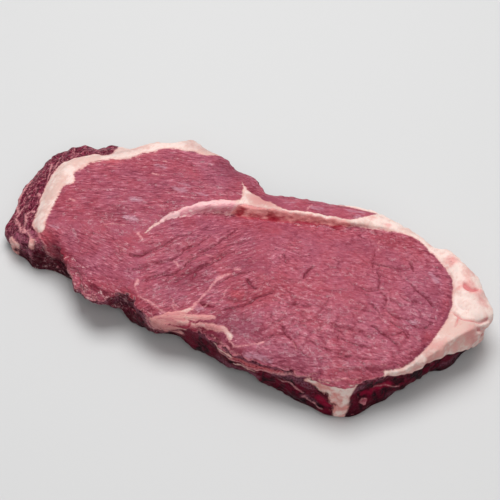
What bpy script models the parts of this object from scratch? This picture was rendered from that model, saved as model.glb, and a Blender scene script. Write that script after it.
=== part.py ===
"""A raw boneless ribeye steak, lying on its lower cut face: lean, seam fat and rim fat in one solid.

The plan of the upper cut face is one smooth closed outline. A height rule domes the muscles, drops
the eye of the steak below the seam of fat that borders it, and swells the fat tail. The side is a
stack of rings between the rim and the foot, which flare or tuck under by zones. Everything is in
millimetres until the last step, which centres the steak over the origin and scales it to metres.
"""

import math

import bmesh
import bpy
from mathutils import Matrix, Vector, geometry, noise

MM = 0.001

# ---- driving sizes, in millimetres ---------------------------------------------------------------
THICKNESS = 23.0  # of the middle of the steak, before the muscles dome
EDGE_ROUND = 6.0  # width of the rounded edge of the upper face
EDGE_DROP = 3.2  # how far that edge falls
EDGE_RINGS = (2.2, 5.2)  # distances inside the rim of the rings of points that carry the rounding
TOP_SPACING = 4.2  # between points of the upper face
RIM_SPACING = 3.6  # between points round the outline
BASE_SPACING = 16.0  # between points of the flat lower face
CURVE_STEPS = 12  # samples of a smooth curve between two of its points
CROWDING = 0.5  # points nearer to each other than this share of their spacing are left out
RING_LEVELS = (0.90, 0.74, 0.57, 0.42, 0.27, 0.13, 0.04)  # of the side, as shares of the rim's height
BELLY_LEVEL = 0.42  # share of the rim's height at which the belly of the side lies
FOOT_INSET = 1.2  # how far the flat lower face stays inside the foot of the side
TOP_LUMP_SIZE = 15.0  # of the uneven flesh of the upper face
TOP_LUMP_DEPTH = 0.45
SIDE_LUMP_SIZE = 9.4
SIDE_LUMP_DEPTH = 1.7

# The outline of the upper face, anticlockwise from the tip of the fat tail: x, y, and how far the
# belly and the foot of the side stand out of the rim there. A negative one is tucked under.
TAIL_END = [(109, 7, -1, -6), (105, 18, -1, -4), (97, 28, 0, -2), (88, 36, 1, 0), (79, 37, 1, 0)]
FAR_EDGE = [(71, 43, 2, 0), (63, 47, 2, 0), (55, 51, 2, 0), (47, 53, 2, -1), (32, 55, 2, -2), (12, 54, 2, -2)]
SHOULDER = [(-3, 52, 2, -2), (-13, 57, 1, -2), (-22, 62, 1, -2), (-30, 68, 1, -2), (-36, 70, 1, -2)]
FAT_CAP = [(-42, 73, 0, -2), (-49, 76, 0, -2), (-56, 74, 0, -2), (-64, 71, 1, -1), (-71, 67, 4, 2), (-82, 61, 10, 8)]
LEFT_BACK = [(-91, 56, 14, 11), (-101, 52, 14, 11), (-107, 45, 13, 11)]
LEFT_END = [(-109, 31, 14, 13), (-108, 18, 14, 14), (-107, 8, 13, 13), (-102, 1, 8, 9), (-95, -4, 4, 5)]
TORN_EDGE = [(-88, -9, 1, 1), (-80, -17, -1, -4), (-75, -22, -2, -8), (-69, -27, -3, -12), (-63, -28, -4, -13)]
SPLIT_EDGE = [(-57, -25, -4, -9), (-50, -27, -2, -4), (-41, -32, -2, -6)]
NEAR_EDGE = [(-32, -34, -1, -6), (-19, -34, 0, -3), (-8, -38, -1, -4), (3, -44, -2, -7), (16, -46, -1, -6)]
NEAR_RIGHT = [(32, -47, 0, -1), (46, -50, 0, 1), (56, -49, 0, 2), (61, -45, 0, 1)]
TAIL_SIDE = [(70, -38, 0, 0), (78, -33, -1, -4), (86, -26, -2, -6), (93, -18, -2, -5), (102, -12, -2, -5)]
TAIL_CORNER = [(107, -3, -1, -5)]
OUTLINE = (
    TAIL_END + FAR_EDGE + SHOULDER + FAT_CAP + LEFT_BACK + LEFT_END + TORN_EDGE + SPLIT_EDGE + NEAR_EDGE
    + NEAR_RIGHT + TAIL_SIDE + TAIL_CORNER
)

# The near edge of the seam of fat between the eye and the cap muscle, from its thin end.
SEAM = [(-53, 12), (-48, 21), (-42, 28), (-32, 34), (-19, 38), (0, 40), (20, 42), (40, 43), (58, 44), (72, 40)]
SEAM_STEP = 4.2  # how far the eye lies below the seam
SEAM_RISE = 0.35  # share of the seam's length over which the step grows from the thin end
SEAM_FADE = 0.42  # share over which it dies out towards the tail
SEAM_RUN = 2.6  # plan width of the seam's sloping front
LINE_SPACING = 4.0  # between points along the seam and the tail's inner edge
EYE_SETTLE = 16.0  # distance over which the eye rises again from the foot of the seam

# The inner edge of the fat tail, where it meets the eye.
TAIL_LINE = [(72, 39), (81, 32), (88, 21), (91, 8), (91, -4), (88, -16), (83, -26), (76, -33)]
TAIL_SWELL = 1.8  # how far the tail's fat stands over the eye
SWELL_REACH = 8.0  # distance over which it comes up
TAIL_FADE = 0.2  # share of the line's length over which the swell starts and ends
TAIL_GROOVE = 0.9  # depth of the line between them
GROOVE_REACH = 4.0  # half its width

# Domes and hollows of the upper face: centre, half length, half width, tilt in degrees, height.
DOMES = {
    "eye": ((28, -6), 72, 46, -6, 2.6),
    "cap": ((-62, 30), 52, 42, 20, 1.6),
    "near_left_slope": ((-84, -24), 46, 34, -30, -5.0),
    "near_middle_slope": ((-22, -46), 44, 26, -14, -4.0),
    "shoulder_slope": ((-14, 70), 34, 17, -32, -3.5),
    "far_strip_slope": ((20, 62), 44, 18, 0, -4.0),
    "tail_slope": ((112, 6), 26, 36, 0, -4.0),
    "tail_fold": ((99, -9), 15, 6, 55, 1.6),
    "left_slope": ((-116, 22), 22, 50, 0, -3.0),
    "pit_by_near_rim": ((-1, -16), 6, 4, 0, -1.2),
}

# Tears and gaps in the side: centre, radius and depth.
DENTS = {
    "tear_under_left_rim": ((-93, -6, 9), 8.0, 5.0),
    "split_in_near_rim": ((-52, -26, 15), 5.0, 4.0),
    "tear_beside_split": ((-72, -24, 8), 7.0, 2.5),
    "gap_under_tail": ((97, -14, 5), 8.0, 4.0),
    "nick_in_fat_cap": ((-68, 68, 23), 4.0, 1.6),
    "fold_of_near_corner": ((63, -44, 12), 6.0, 2.5),
}


# ---- curves --------------------------------------------------------------------------------------
def catmull_rom(a, b, c, d, t):
    """The point at share t between b and c of the smooth curve through a, b, c and d."""
    near = 2 * b + (c - a) * t
    far = (2 * a - 5 * b + 4 * c - d) * t**2 + (3 * b - a - 3 * c + d) * t**3
    return (near + far) / 2


def smooth_line(points, spacing, closed=False):
    """A smooth curve through the points, evenly spaced in plan; what follows x and y is eased along."""
    corners = [Vector(p) for p in points]
    count = len(corners) if closed else len(corners) - 1
    dense = []
    for i in range(count):
        if closed:
            around = [corners[(i + k) % count] for k in (-1, 0, 1, 2)]
        else:
            around = [corners[min(max(i + k, 0), count)] for k in (-1, 0, 1, 2)]
        dense += [catmull_rom(*around, t / CURVE_STEPS) for t in range(CURVE_STEPS)]
    dense.append(dense[0] if closed else corners[-1])
    lengths = [0.0]
    for a, b in zip(dense, dense[1:]):
        lengths.append(lengths[-1] + (b.xy - a.xy).length)
    steps = max(1, round(lengths[-1] / spacing))
    line, i = [], 0
    for k in range(steps if closed else steps + 1):
        at = lengths[-1] * k / steps
        while i < len(lengths) - 2 and lengths[i + 1] < at:
            i += 1
        share = (at - lengths[i]) / (lengths[i + 1] - lengths[i])
        line.append(dense[i].lerp(dense[i + 1], share))
    return line


def outward_normals(loop, reach=1):
    """The unit vector out of an anticlockwise closed line at each point, from points a reach apart."""
    count = len(loop)
    along = [(loop[(i + reach) % count] - loop[i - reach]).normalized() for i in range(count)]
    return [Vector((a.y, -a.x)) for a in along]


def nearest_on(line, point, closed=False):
    """(signed distance, share of the length) of the nearest place on a line; left of it is positive."""
    best = (math.inf, 0.0, 0.0)
    pairs = list(zip(line, line[1:])) + ([(line[-1], line[0])] if closed else [])
    for i, (a, b) in enumerate(pairs):
        side, offset = b - a, point - a
        share = min(1.0, max(0.0, offset.dot(side) / side.length_squared))
        gap = (offset - side * share).length
        if gap < best[0]:
            turn = side.x * offset.y - side.y * offset.x
            best = (gap, math.copysign(gap, turn), (i + share) / len(pairs))
    return best[1], best[2]


def ease(value):
    """0 up to 0 and 1 from 1, with a smooth rise between."""
    value = min(1.0, max(0.0, value))
    return value * value * (3 - 2 * value)


OUTLINE_CURVE = smooth_line(OUTLINE, RIM_SPACING, closed=True)
RIM = [point.xy for point in OUTLINE_CURVE]
STAND_OUT = [(point.z, point.w) for point in OUTLINE_CURVE]  # of the belly and of the foot
RIM_NORMALS = outward_normals(RIM)
SIDE_NORMALS = outward_normals(RIM, reach=5)  # smoother, so that the side never crosses itself
SEAM_LINE = smooth_line(SEAM, LINE_SPACING)
TAIL_EDGE = smooth_line(TAIL_LINE, LINE_SPACING)


# ---- the upper face ------------------------------------------------------------------------------
def dome(point, centre, half_length, half_width, tilt, height):
    """Height of a smooth mound over an ellipse; it is nothing outside the ellipse."""
    turn = math.radians(-tilt)
    x, y = point.x - centre[0], point.y - centre[1]
    along = (x * math.cos(turn) - y * math.sin(turn)) / half_length
    across = (x * math.sin(turn) + y * math.cos(turn)) / half_width
    return height * ease(1 - math.hypot(along, across))


def seam_height(point):
    """The eye lies a step below the seam, and rises to its own level further in."""
    distance, share = nearest_on(SEAM_LINE, point)
    depth = SEAM_STEP * ease(share / SEAM_RISE) * ease((1 - share) / SEAM_FADE)
    if distance >= 0:  # on the seam itself and beyond it
        return 0.0
    return -depth * ease(-distance / SEAM_RUN) * ease(1 - (-distance - SEAM_RUN) / EYE_SETTLE)


def tail_height(point):
    """The tail's fat swells over the eye, with a groove where they meet."""
    distance, share = nearest_on(TAIL_EDGE, point)
    ends = ease(share / TAIL_FADE) * ease((1 - share) / TAIL_FADE)
    groove = -TAIL_GROOVE * max(0.0, 1 - abs(distance) / GROOVE_REACH)
    return ends * (groove + TAIL_SWELL * ease(distance / SWELL_REACH))


def top_height(point):
    """Height of the upper face over a point of the plan, before its edge is rounded."""
    domes = sum(dome(point, *sizes) for sizes in DOMES.values())
    uneven = TOP_LUMP_DEPTH * noise.noise(point.to_3d() / TOP_LUMP_SIZE)
    return THICKNESS + domes + seam_height(point) + tail_height(point) + uneven


def rounded_height(point, inside):
    """Height of the upper face at a distance inside the rim."""
    return top_height(point) - EDGE_DROP * (1 - min(1.0, inside / EDGE_ROUND)) ** 2


def plan_grid(loop, spacing):
    """Points of a triangular grid over the inside of a loop, none too near to it."""
    low_x, high_x = min(p.x for p in loop), max(p.x for p in loop)
    low_y, high_y = min(p.y for p in loop), max(p.y for p in loop)
    row_height = spacing * math.sqrt(3) / 2
    points = []
    for row in range(int((high_y - low_y) / row_height) + 1):
        shift = spacing / 2 * (row % 2)
        for column in range(int((high_x - low_x) / spacing) + 1):
            point = Vector((low_x + column * spacing + shift, low_y + row * row_height))
            if nearest_on(loop, point, closed=True)[0] > spacing * CROWDING:
                points.append(point)
    return points


def apart(points, others, gap):
    """The points that are at least a gap away from all of the others."""
    return [p for p in points if all((p - q).length > gap for q in others)]


def inset_ring(distance):
    """The rim's line moved inside by a distance, without the points that crowd or fall back."""
    ring = []
    for point, normal in zip(RIM, RIM_NORMALS):
        moved = point - normal * distance
        clear = nearest_on(RIM, moved, closed=True)[0] > distance * 0.9
        if clear and (not ring or (moved - ring[-1]).length > RIM_SPACING * CROWDING):
            ring.append(moved)
    return ring


def inside_rings(line):
    """The part of a line that stays well inside the innermost ring."""
    least = EDGE_RINGS[-1] + LINE_SPACING * CROWDING
    return [p for p in line if nearest_on(RIM, p, closed=True)[0] > least]


def triangulated(loops, lines, inner):
    """Plan points and triangles inside the first loop, with edges along every loop and line."""
    points, edges = [], []
    for line in loops + lines:
        start = len(points)
        points += line
        edges += [(start + i, start + i + 1) for i in range(len(line) - 1)]
        if line in loops:
            edges.append((start + len(line) - 1, start))
    found = geometry.delaunay_2d_cdt(points + inner, edges, [list(range(len(loops[0])))], 1, 1e-4)
    return found[0], found[2]


def upper_face():
    """Plan points and triangles of the upper face; its first points are the rim's."""
    rings = [inset_ring(distance) for distance in EDGE_RINGS]
    foot_of_seam = [
        p + Vector((b.y - a.y, a.x - b.x)) * (SEAM_RUN / (b - a).length)
        for p, a, b in zip(SEAM_LINE[1:-1], SEAM_LINE, SEAM_LINE[2:])
    ]
    seam = inside_rings(SEAM_LINE)
    foot_of_seam = inside_rings(foot_of_seam)
    tail = apart(inside_rings(TAIL_EDGE), seam + foot_of_seam, LINE_SPACING * CROWDING)
    lines = [seam, foot_of_seam, tail]
    drawn = [p for line in lines for p in line]
    grid = apart(plan_grid(rings[-1], TOP_SPACING), drawn, TOP_SPACING * CROWDING)
    return triangulated([RIM] + rings, lines, grid)


# ---- the side ------------------------------------------------------------------------------------
def wall_offset(stand_out, level):
    """How far the side stands out of the rim at a share of the rim's height."""
    belly, foot = stand_out
    if level >= BELLY_LEVEL:
        return belly * math.cos((level - BELLY_LEVEL) / (1 - BELLY_LEVEL) * math.pi / 2)
    return foot + (belly - foot) * math.sin(level / BELLY_LEVEL * math.pi / 2)


def dented(place, outward):
    """The place moved inwards by every tear whose radius it lies in."""
    for centre, radius, depth in DENTS.values():
        share = ease(1 - (place - Vector(centre)).length / radius)
        place = place - outward * depth * share
    return place


def side_ring(level, heights):
    """The points of the ring round the steak at a share of the rim's height."""
    ring = []
    for plan, normal, stand_out, height in zip(RIM, SIDE_NORMALS, STAND_OUT, heights):
        outward = Vector((*normal, 0.0))
        place = Vector((*plan, height * level)) + outward * wall_offset(stand_out, level)
        middle = math.sin(math.pi * level) ** 0.5  # the rim and the foot stay where they are
        uneven = SIDE_LUMP_DEPTH * middle * noise.noise(place / SIDE_LUMP_SIZE)
        ring.append(dented(place + outward * uneven, outward))
    return ring


# ---- the solid -----------------------------------------------------------------------------------
def add_ring(mesh, ring):
    return [mesh.verts.new(place) for place in ring]


def bridge(mesh, upper, lower):
    """Faces between two rings of as many points, with their front outwards."""
    for i in range(len(upper)):
        after = (i + 1) % len(upper)
        mesh.faces.new((upper[i], lower[i], lower[after], upper[after]))


def build_steak():
    mesh = bmesh.new()

    plan, triangles = upper_face()
    rim_count = len(RIM)
    top = []
    for i, point in enumerate(plan):
        inside = 0.0 if i < rim_count else nearest_on(RIM, point, closed=True)[0]
        place = Vector((*point, rounded_height(point, inside)))
        if i < rim_count:
            place = dented(place, Vector((*SIDE_NORMALS[i], 0.0)))
        top.append(mesh.verts.new(place))
    for triangle in triangles:
        mesh.faces.new([top[i] for i in triangle])

    rim = top[:rim_count]
    heights = [vertex.co.z for vertex in rim]
    above = rim
    for level in RING_LEVELS:
        below = add_ring(mesh, side_ring(level, heights))
        bridge(mesh, above, below)
        above = below

    foot_plan = [
        p + n * (wall_offset(stand_out, 0.0) - FOOT_INSET)
        for p, n, stand_out in zip(RIM, SIDE_NORMALS, STAND_OUT)
    ]
    base_grid = plan_grid(foot_plan, BASE_SPACING)
    base_points, base_triangles = triangulated([foot_plan], [], base_grid)
    base = [mesh.verts.new(Vector((*point, 0.0))) for point in base_points]
    bridge(mesh, above, base[:rim_count])
    for triangle in base_triangles:
        mesh.faces.new([base[i] for i in reversed(triangle)])

    centre_over_origin(mesh)
    bmesh.ops.scale(mesh, vec=(MM, MM, MM), verts=mesh.verts)
    data = bpy.data.meshes.new("steak")
    mesh.to_mesh(data)
    mesh.free()
    data.shade_smooth()
    data.set_sharp_from_angle(angle=math.radians(60))
    steak = bpy.data.objects.new("steak", data)
    bpy.context.collection.objects.link(steak)
    return steak


def centre_over_origin(mesh):
    """Moves the middle of the steak's box over the origin, in plan."""
    low = Vector((min(v.co.x for v in mesh.verts), min(v.co.y for v in mesh.verts), 0.0))
    high = Vector((max(v.co.x for v in mesh.verts), max(v.co.y for v in mesh.verts), 0.0))
    print("middle of the drawn plan, mm:", (low + high) / 2)
    bmesh.ops.translate(mesh, vec=-(low + high) / 2, verts=mesh.verts)


def raw_beef():
    """Moist dark red lean."""
    material = bpy.data.materials.new("raw_beef")
    material.use_nodes = True
    shader = material.node_tree.nodes["Principled BSDF"]
    shader.inputs["Base Color"].default_value = (0.39, 0.06, 0.08, 1.0)
    shader.inputs["Roughness"].default_value = 0.38
    shader.inputs["Metallic"].default_value = 0.0
    return material


def main():
    for thing in list(bpy.data.objects):
        bpy.data.objects.remove(thing)
    steak = build_steak()
    steak.data.materials.append(raw_beef())


main()
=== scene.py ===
# %% [markdown]
# # A raw ribeye steak
# A ribeye is a slice across several muscles. The big round one is the eye; the one at its upper left is the
# cap. White seams of fat part them, a thick cap of fat covers one end and a fat tail hangs on the other.
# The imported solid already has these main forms, so this lesson only dresses it: a fine copy of the solid is
# sculpted by rules and painted through its own attributes. Sizes on the meat are in millimetres.

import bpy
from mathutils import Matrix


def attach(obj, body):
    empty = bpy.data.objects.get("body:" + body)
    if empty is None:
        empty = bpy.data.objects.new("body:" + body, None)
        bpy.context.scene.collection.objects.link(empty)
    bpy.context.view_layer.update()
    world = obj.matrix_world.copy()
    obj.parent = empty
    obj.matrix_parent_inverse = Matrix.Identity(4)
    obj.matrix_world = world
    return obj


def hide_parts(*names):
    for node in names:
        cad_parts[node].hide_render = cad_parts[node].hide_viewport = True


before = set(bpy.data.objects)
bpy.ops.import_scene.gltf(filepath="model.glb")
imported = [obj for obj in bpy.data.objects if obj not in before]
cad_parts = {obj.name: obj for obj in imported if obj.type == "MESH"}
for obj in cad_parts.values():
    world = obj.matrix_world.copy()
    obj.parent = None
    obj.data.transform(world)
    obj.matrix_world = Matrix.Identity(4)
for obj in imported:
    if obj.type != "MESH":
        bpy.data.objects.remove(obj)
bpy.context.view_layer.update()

# %% Tools of the trade
import itertools
import math

import bpy
import numpy as np
from mathutils import Matrix, Vector

MM = 0.001
PLAN_ORIGIN = np.array([-6.9583, 12.3382, 0.0])  # where the frame's origin lies on the cutting plan


def to_frame(place):
    """A place on the cutting plan, in millimetres, as a place in the frame, in metres."""
    return Vector((np.array(place) - PLAN_ORIGIN) * MM)


# %% [markdown]
# ## Camera
# The steak is seen from in front and above, from 0.6 m away, through a long lens, so that near and far
# edges keep nearly the same scale. The camera could be aimed with a constraint, but a constraint also has to
# be kept alive. Its three directions are simple to work out, so they are written straight into its matrix.

# %% Place the camera
ELEVATION = math.radians(50)  # above the table
AZIMUTH = math.radians(14)  # round to the right
LENS = 100.0
SENSOR = 36.0
PICTURE = 500  # pixels on a side
PIXEL = 0.455  # millimetres of steak on a pixel
AIM = (0, 0, 24)  # a place on the plan
AIM_PIXEL = (250, 272)  # the pixel on which it falls


def add_camera():
    """A camera that looks down at the steak, with the aim a little under the middle of the picture."""
    back = Vector((
        math.sin(AZIMUTH) * math.cos(ELEVATION),
        -math.cos(AZIMUTH) * math.cos(ELEVATION),
        math.sin(ELEVATION),
    ))
    right = Vector((math.cos(AZIMUTH), math.sin(AZIMUTH), 0))
    up = back.cross(right)
    distance = PIXEL * MM * PICTURE * LENS / SENSOR
    aside = (AIM_PIXEL[0] - PICTURE / 2) * PIXEL * MM
    below = (AIM_PIXEL[1] - PICTURE / 2) * PIXEL * MM
    place = to_frame(AIM) + back * distance - right * aside + up * below
    data = bpy.data.cameras.new("camera")
    data.lens = LENS
    data.sensor_width = SENSOR
    camera = bpy.data.objects.new("camera", data)
    turn = Matrix((right, up, back)).transposed().to_4x4()
    camera.matrix_world = Matrix.Translation(place) @ turn
    bpy.context.collection.objects.link(camera)
    bpy.context.scene.camera = camera
    return distance


print("camera distance, metres:", round(add_camera(), 3))

# %% [markdown]
# ## Table and light
# Raw meat is judged under a wide soft light from behind: it grazes the fibres and leaves the near side in
# shade. A sun lamp would give hard black edges. A large area lamp behind and above does the work here, a weak
# one in front opens the shade, and a pale sky fills what neither reaches.

# %% Lay the table and hang the lamps
TABLE_SIZE = 6.0  # metres
TABLE_DROP = 0.0002  # metres under the steak
TABLE_GREY = 0.60
TABLE_ROUGHNESS = 0.7
KEY_PLACE, KEY_SIZE, KEY_POWER = (-0.10, 0.36, 1.04), 0.70, 11.6  # metres, metres, watts
FILL_PLACE, FILL_SIZE, FILL_POWER = (0.25, -0.75, 0.90), 0.8, 3.0
SKY_STRENGTH = 0.28


def deselect():
    bpy.ops.object.select_all(action="DESELECT")


def add_table():
    deselect()
    bpy.ops.mesh.primitive_plane_add(size=TABLE_SIZE, location=(0, 0, -TABLE_DROP))
    table = bpy.context.object
    table.name = "table"
    finish = bpy.data.materials.new("table_paint")
    finish.use_nodes = True
    shader = finish.node_tree.nodes["Principled BSDF"]
    shader.inputs["Base Color"].default_value = (TABLE_GREY, TABLE_GREY, TABLE_GREY, 1)
    shader.inputs["Roughness"].default_value = TABLE_ROUGHNESS
    table.data.materials.append(finish)


def add_lamp(name, place, size, power):
    """A square area lamp that faces the steak."""
    data = bpy.data.lights.new(name, "AREA")
    data.size = size
    data.energy = power
    lamp = bpy.data.objects.new(name, data)
    lamp.location = place
    lamp.rotation_euler = Vector(place).to_track_quat("Z", "Y").to_euler()
    bpy.context.collection.objects.link(lamp)


def add_sky():
    world = bpy.data.worlds.new("sky")
    world.use_nodes = True
    sky = world.node_tree.nodes["Background"]
    sky.inputs["Color"].default_value = (1.0, 1.0, 1.0, 1)
    sky.inputs["Strength"].default_value = SKY_STRENGTH
    bpy.context.scene.world = world


add_table()
add_lamp("key_lamp", KEY_PLACE, KEY_SIZE, KEY_POWER)
add_lamp("fill_lamp", FILL_PLACE, FILL_SIZE, FILL_POWER)
add_sky()
bpy.context.scene.view_settings.view_transform = "Standard"

# %% [markdown]
# ## A fine copy to sculpt
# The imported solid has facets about 4 mm wide. Meat needs a fine, even skin of points. A subdivision surface
# would keep the long facets of the side; a voxel remesh lays the same small squares over everything, tears
# included, so it comes first. A smooth modifier then rubs the old facets away.

# %% Copy, remesh and smooth the solid
MERGE_GAP = 0.01  # points nearer than this are one
VOXEL = 0.62  # side of a remeshed square
SMOOTH_TURNS = 9
SMOOTH_SHARE = 0.5


def apply_modifier(piece, kind, **settings):
    """Adds a modifier to a piece, sets it up and applies it."""
    bpy.context.view_layer.objects.active = piece
    modifier = piece.modifiers.new(kind.lower(), kind)
    for name, value in settings.items():
        setattr(modifier, name, value)
    bpy.ops.object.modifier_apply(modifier=modifier.name)


def fine_copy(node, name):
    """A merged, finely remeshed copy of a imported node, as an object of its own."""
    deselect()
    node.select_set(True)
    bpy.context.view_layer.objects.active = node
    bpy.ops.object.duplicate()
    piece = bpy.context.object
    piece.name = name
    for key in list(piece.keys()):
        del piece[key]
    bpy.ops.object.mode_set(mode="EDIT")
    bpy.ops.mesh.select_all(action="SELECT")
    bpy.ops.mesh.remove_doubles(threshold=MERGE_GAP * MM)
    bpy.ops.object.mode_set(mode="OBJECT")
    apply_modifier(piece, "REMESH", mode="VOXEL", voxel_size=VOXEL * MM, use_smooth_shade=True)
    apply_modifier(piece, "SMOOTH", factor=SMOOTH_SHARE, iterations=SMOOTH_TURNS)
    return piece


steak = fine_copy(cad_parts["steak"], "ribeye_steak")
print("points in the fine copy:", len(steak.data.vertices))

# %% [markdown]
# ## Reading and writing the skin
# Sculpting by rule means working on all the points at once. The points are read as one table, in millimetres
# on the cutting plan, changed, and written back.

# %% Read and write points
def read_skin(piece):
    """Places on the plan and normals of a piece's points."""
    mesh = piece.data
    places = np.empty(len(mesh.vertices) * 3, np.float32)
    normals = np.empty(len(mesh.vertices) * 3, np.float32)
    mesh.vertices.foreach_get("co", places)
    mesh.vertex_normals.foreach_get("vector", normals)
    return places.reshape(-1, 3).astype(float) / MM + PLAN_ORIGIN, normals.reshape(-1, 3).astype(float)


def write_skin(piece, places):
    moved = (places - PLAN_ORIGIN) * MM
    piece.data.vertices.foreach_set("co", moved.astype(np.float32).ravel())
    piece.data.update()


def write_attribute(piece, name, values):
    """Keeps one number for each point, for the material to read by name."""
    attribute = piece.data.attributes.new(name, "FLOAT", "POINT")
    attribute.data.foreach_set("value", values.astype(np.float32))


# %% [markdown]
# ## Rules that draw
# Three rules are enough to lay out a cut of meat. A stroke is a line with a half width at each of its points,
# and its depth says how far inside the stroke a point lies. A patch is a closed outline, and its depth is the
# distance to the outline, negative outside. A wash is a soft round spot. Depths in millimetres stay sharp
# when they are read between two points, where a plain yes or no would blur.

# %% Smooth lines, strokes, patches and washes
LINE_STEPS = 5


def ease(value, low=0.0, high=1.0):
    """0 up to low and 1 from high, with a smooth rise between."""
    share = np.clip((value - low) / (high - low), 0, 1)
    return share * share * (3 - 2 * share)


def smooth_line(points, closed=False):
    """A smooth curve through the points; all that follows x and y is eased along."""
    corners = np.array(points, float)
    count = len(corners) if closed else len(corners) - 1
    rows = []
    for i in range(count):
        if closed:
            a, b, c, d = (corners[(i + k) % count] for k in (-1, 0, 1, 2))
        else:
            a, b, c, d = (corners[min(max(i + k, 0), count)] for k in (-1, 0, 1, 2))
        for t in np.arange(LINE_STEPS) / LINE_STEPS:
            near = 2 * b + (c - a) * t
            far = (2 * a - 5 * b + 4 * c - d) * t**2 + (3 * b - a - 3 * c + d) * t**3
            rows.append((near + far) / 2)
    rows.append(rows[0] if closed else corners[-1])
    return np.array(rows)


def line_gap(line, spots):
    """(distance, share of the length, side) of the nearest place on a line; the side is 1 on its left."""
    best = np.full(len(spots), np.inf)
    share_of_best = np.zeros(len(spots))
    side_of_best = np.ones(len(spots))
    for i, (a, b) in enumerate(zip(line[:-1, :2], line[1:, :2])):
        along, offset = b - a, spots - a
        share = np.clip(offset @ along / max(along @ along, 1e-9), 0, 1)
        gap = np.hypot(*(offset - share[:, None] * along).T)
        nearer = gap < best
        best[nearer] = gap[nearer]
        share_of_best[nearer] = (i + share[nearer]) / (len(line) - 1)
        turn = along[0] * offset[:, 1] - along[1] * offset[:, 0]
        side_of_best[nearer] = np.where(turn[nearer] < 0, -1, 1)
    return best, share_of_best, side_of_best


def stroke_depth(points, spots, reach=3.0):
    """How far inside a stroke of (x, y, half width) points each spot lies, down to -reach outside."""
    line = smooth_line(points) if len(points) > 2 else np.array(points, float)
    depth = np.full(len(spots), -reach)
    margin = line[:, 2].max() + reach
    near = ((spots > line[:, :2].min(0) - margin) & (spots < line[:, :2].max(0) + margin)).all(1)
    if near.any():
        gap, share, _ = line_gap(line, spots[near])
        width = np.interp(share, np.linspace(0, 1, len(line)), line[:, 2])
        depth[near] = np.maximum(width - gap, -reach)
    return depth


def strokes_depth(strokes, spots, reach=3.0):
    """The depth in the deepest of several strokes."""
    depth = np.full(len(spots), -reach)
    for points in strokes:
        depth = np.maximum(depth, stroke_depth(points, spots, reach))
    return depth


def patch_depth(points, spots):
    """Distance inside a smooth closed outline, negative outside it."""
    line = smooth_line(points, closed=True)
    inside = np.zeros(len(spots), bool)
    for (ax, ay), (bx, by) in zip(line[:-1, :2], line[1:, :2]):
        if ay != by:
            spans = (ay > spots[:, 1]) != (by > spots[:, 1])
            inside ^= spans & (spots[:, 0] < (bx - ax) * (spots[:, 1] - ay) / (by - ay) + ax)
    gap = line_gap(line, spots)[0]
    return np.where(inside, gap, -gap)


def wash(spots, x, y, half_length, half_width, tilt=0):
    """A soft oval spot, 1 at its middle and 0 from its edge."""
    turn = math.radians(tilt)
    ahead = (spots[:, 0] - x) * math.cos(turn) + (spots[:, 1] - y) * math.sin(turn)
    aside = (spots[:, 1] - y) * math.cos(turn) - (spots[:, 0] - x) * math.sin(turn)
    return ease(1 - np.hypot(ahead / half_length, aside / half_width))


def washes(spots, spot_list):
    """The sum of soft oval spots, each (x, y, half length, half width, tilt, amount)."""
    return sum(amount * wash(spots, *oval) for *oval, amount in spot_list)


depth_of_middle = stroke_depth([(0, 0, 0.5), (4, 0, 0.5)], np.zeros((1, 2)))
print("a stroke 1 mm wide is this deep at its middle, in millimetres:", depth_of_middle)

# %% [markdown]
# ## Rules that roughen
# Flesh is never smooth. Blender's texture nodes only shade a surface, so the same kinds of noise are worked
# out here for the points: lumps from smooth noise, fibres from noise drawn out along one direction, and the
# net of cracks between bundles of fibres from a scattering of seeds.

# %% Noise, fibres and nets
rng = np.random.default_rng(7)
SLOPES = rng.normal(size=(4096, 3))
SLOPES /= np.linalg.norm(SLOPES, axis=1)[:, None]
JITTER = rng.random((4096, 2))
HASH_STEPS = np.array([73856093, 19349663, 83492791])


def hashed(cells):
    """A number below 4096 for each cell of a grid, the same at each run."""
    mixed = cells.astype(np.int64) * HASH_STEPS[: cells.shape[1]]
    folded = np.bitwise_xor.reduce(mixed, axis=1)
    return (folded ^ (folded >> 7)) & 4095


def lumps(places, size, seed=0):
    """Smooth noise of about -1 to 1, with lumps of a size."""
    at = places / size + seed * 17.3
    cell = np.floor(at)
    share = at - cell
    weight = share**3 * (share * (share * 6 - 15) + 10)
    total = np.zeros(len(at))
    for corner in itertools.product((0, 1), repeat=3):
        rise = (SLOPES[hashed(cell + corner)] * (share - corner)).sum(1)
        total += rise * np.prod(np.where(corner, weight, 1 - weight), axis=1)
    return total * 1.6


def turned(places, degrees):
    """Places turned in plan, so that a direction of the plan becomes x."""
    turn = math.radians(degrees)
    ahead = places[:, 0] * math.cos(turn) + places[:, 1] * math.sin(turn)
    aside = places[:, 1] * math.cos(turn) - places[:, 0] * math.sin(turn)
    return np.stack([ahead, aside, places[:, 2]], 1)


def fibres(places, degrees, width, length, seed=0):
    """Noise drawn out along a direction of the plan."""
    bent = turned(places, degrees)
    bent[:, 1] += 1.2 * lumps(places, 14.0, seed + 3)
    return lumps(bent * (width / length, 1, 1), width, seed)


def net_gap(spots, size, seed=0):
    """Distance to the nearest crack of a net, from the two nearest of a scattering of seeds."""
    at = spots / size + seed * 11.7
    cell = np.floor(at)
    first = np.full(len(at), np.inf)
    second = np.full(len(at), np.inf)
    for step in itertools.product((-1, 0, 1), repeat=2):
        near = cell + step
        gap = np.hypot(*(near + JITTER[hashed(near)] - at).T)
        second = np.minimum(second, np.maximum(first, gap))
        first = np.minimum(first, gap)
    return (second - first) * size / 2


print("lumps run from", lumps(rng.random((2000, 3)) * 40, 5.0).min().round(2), "up")

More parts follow.
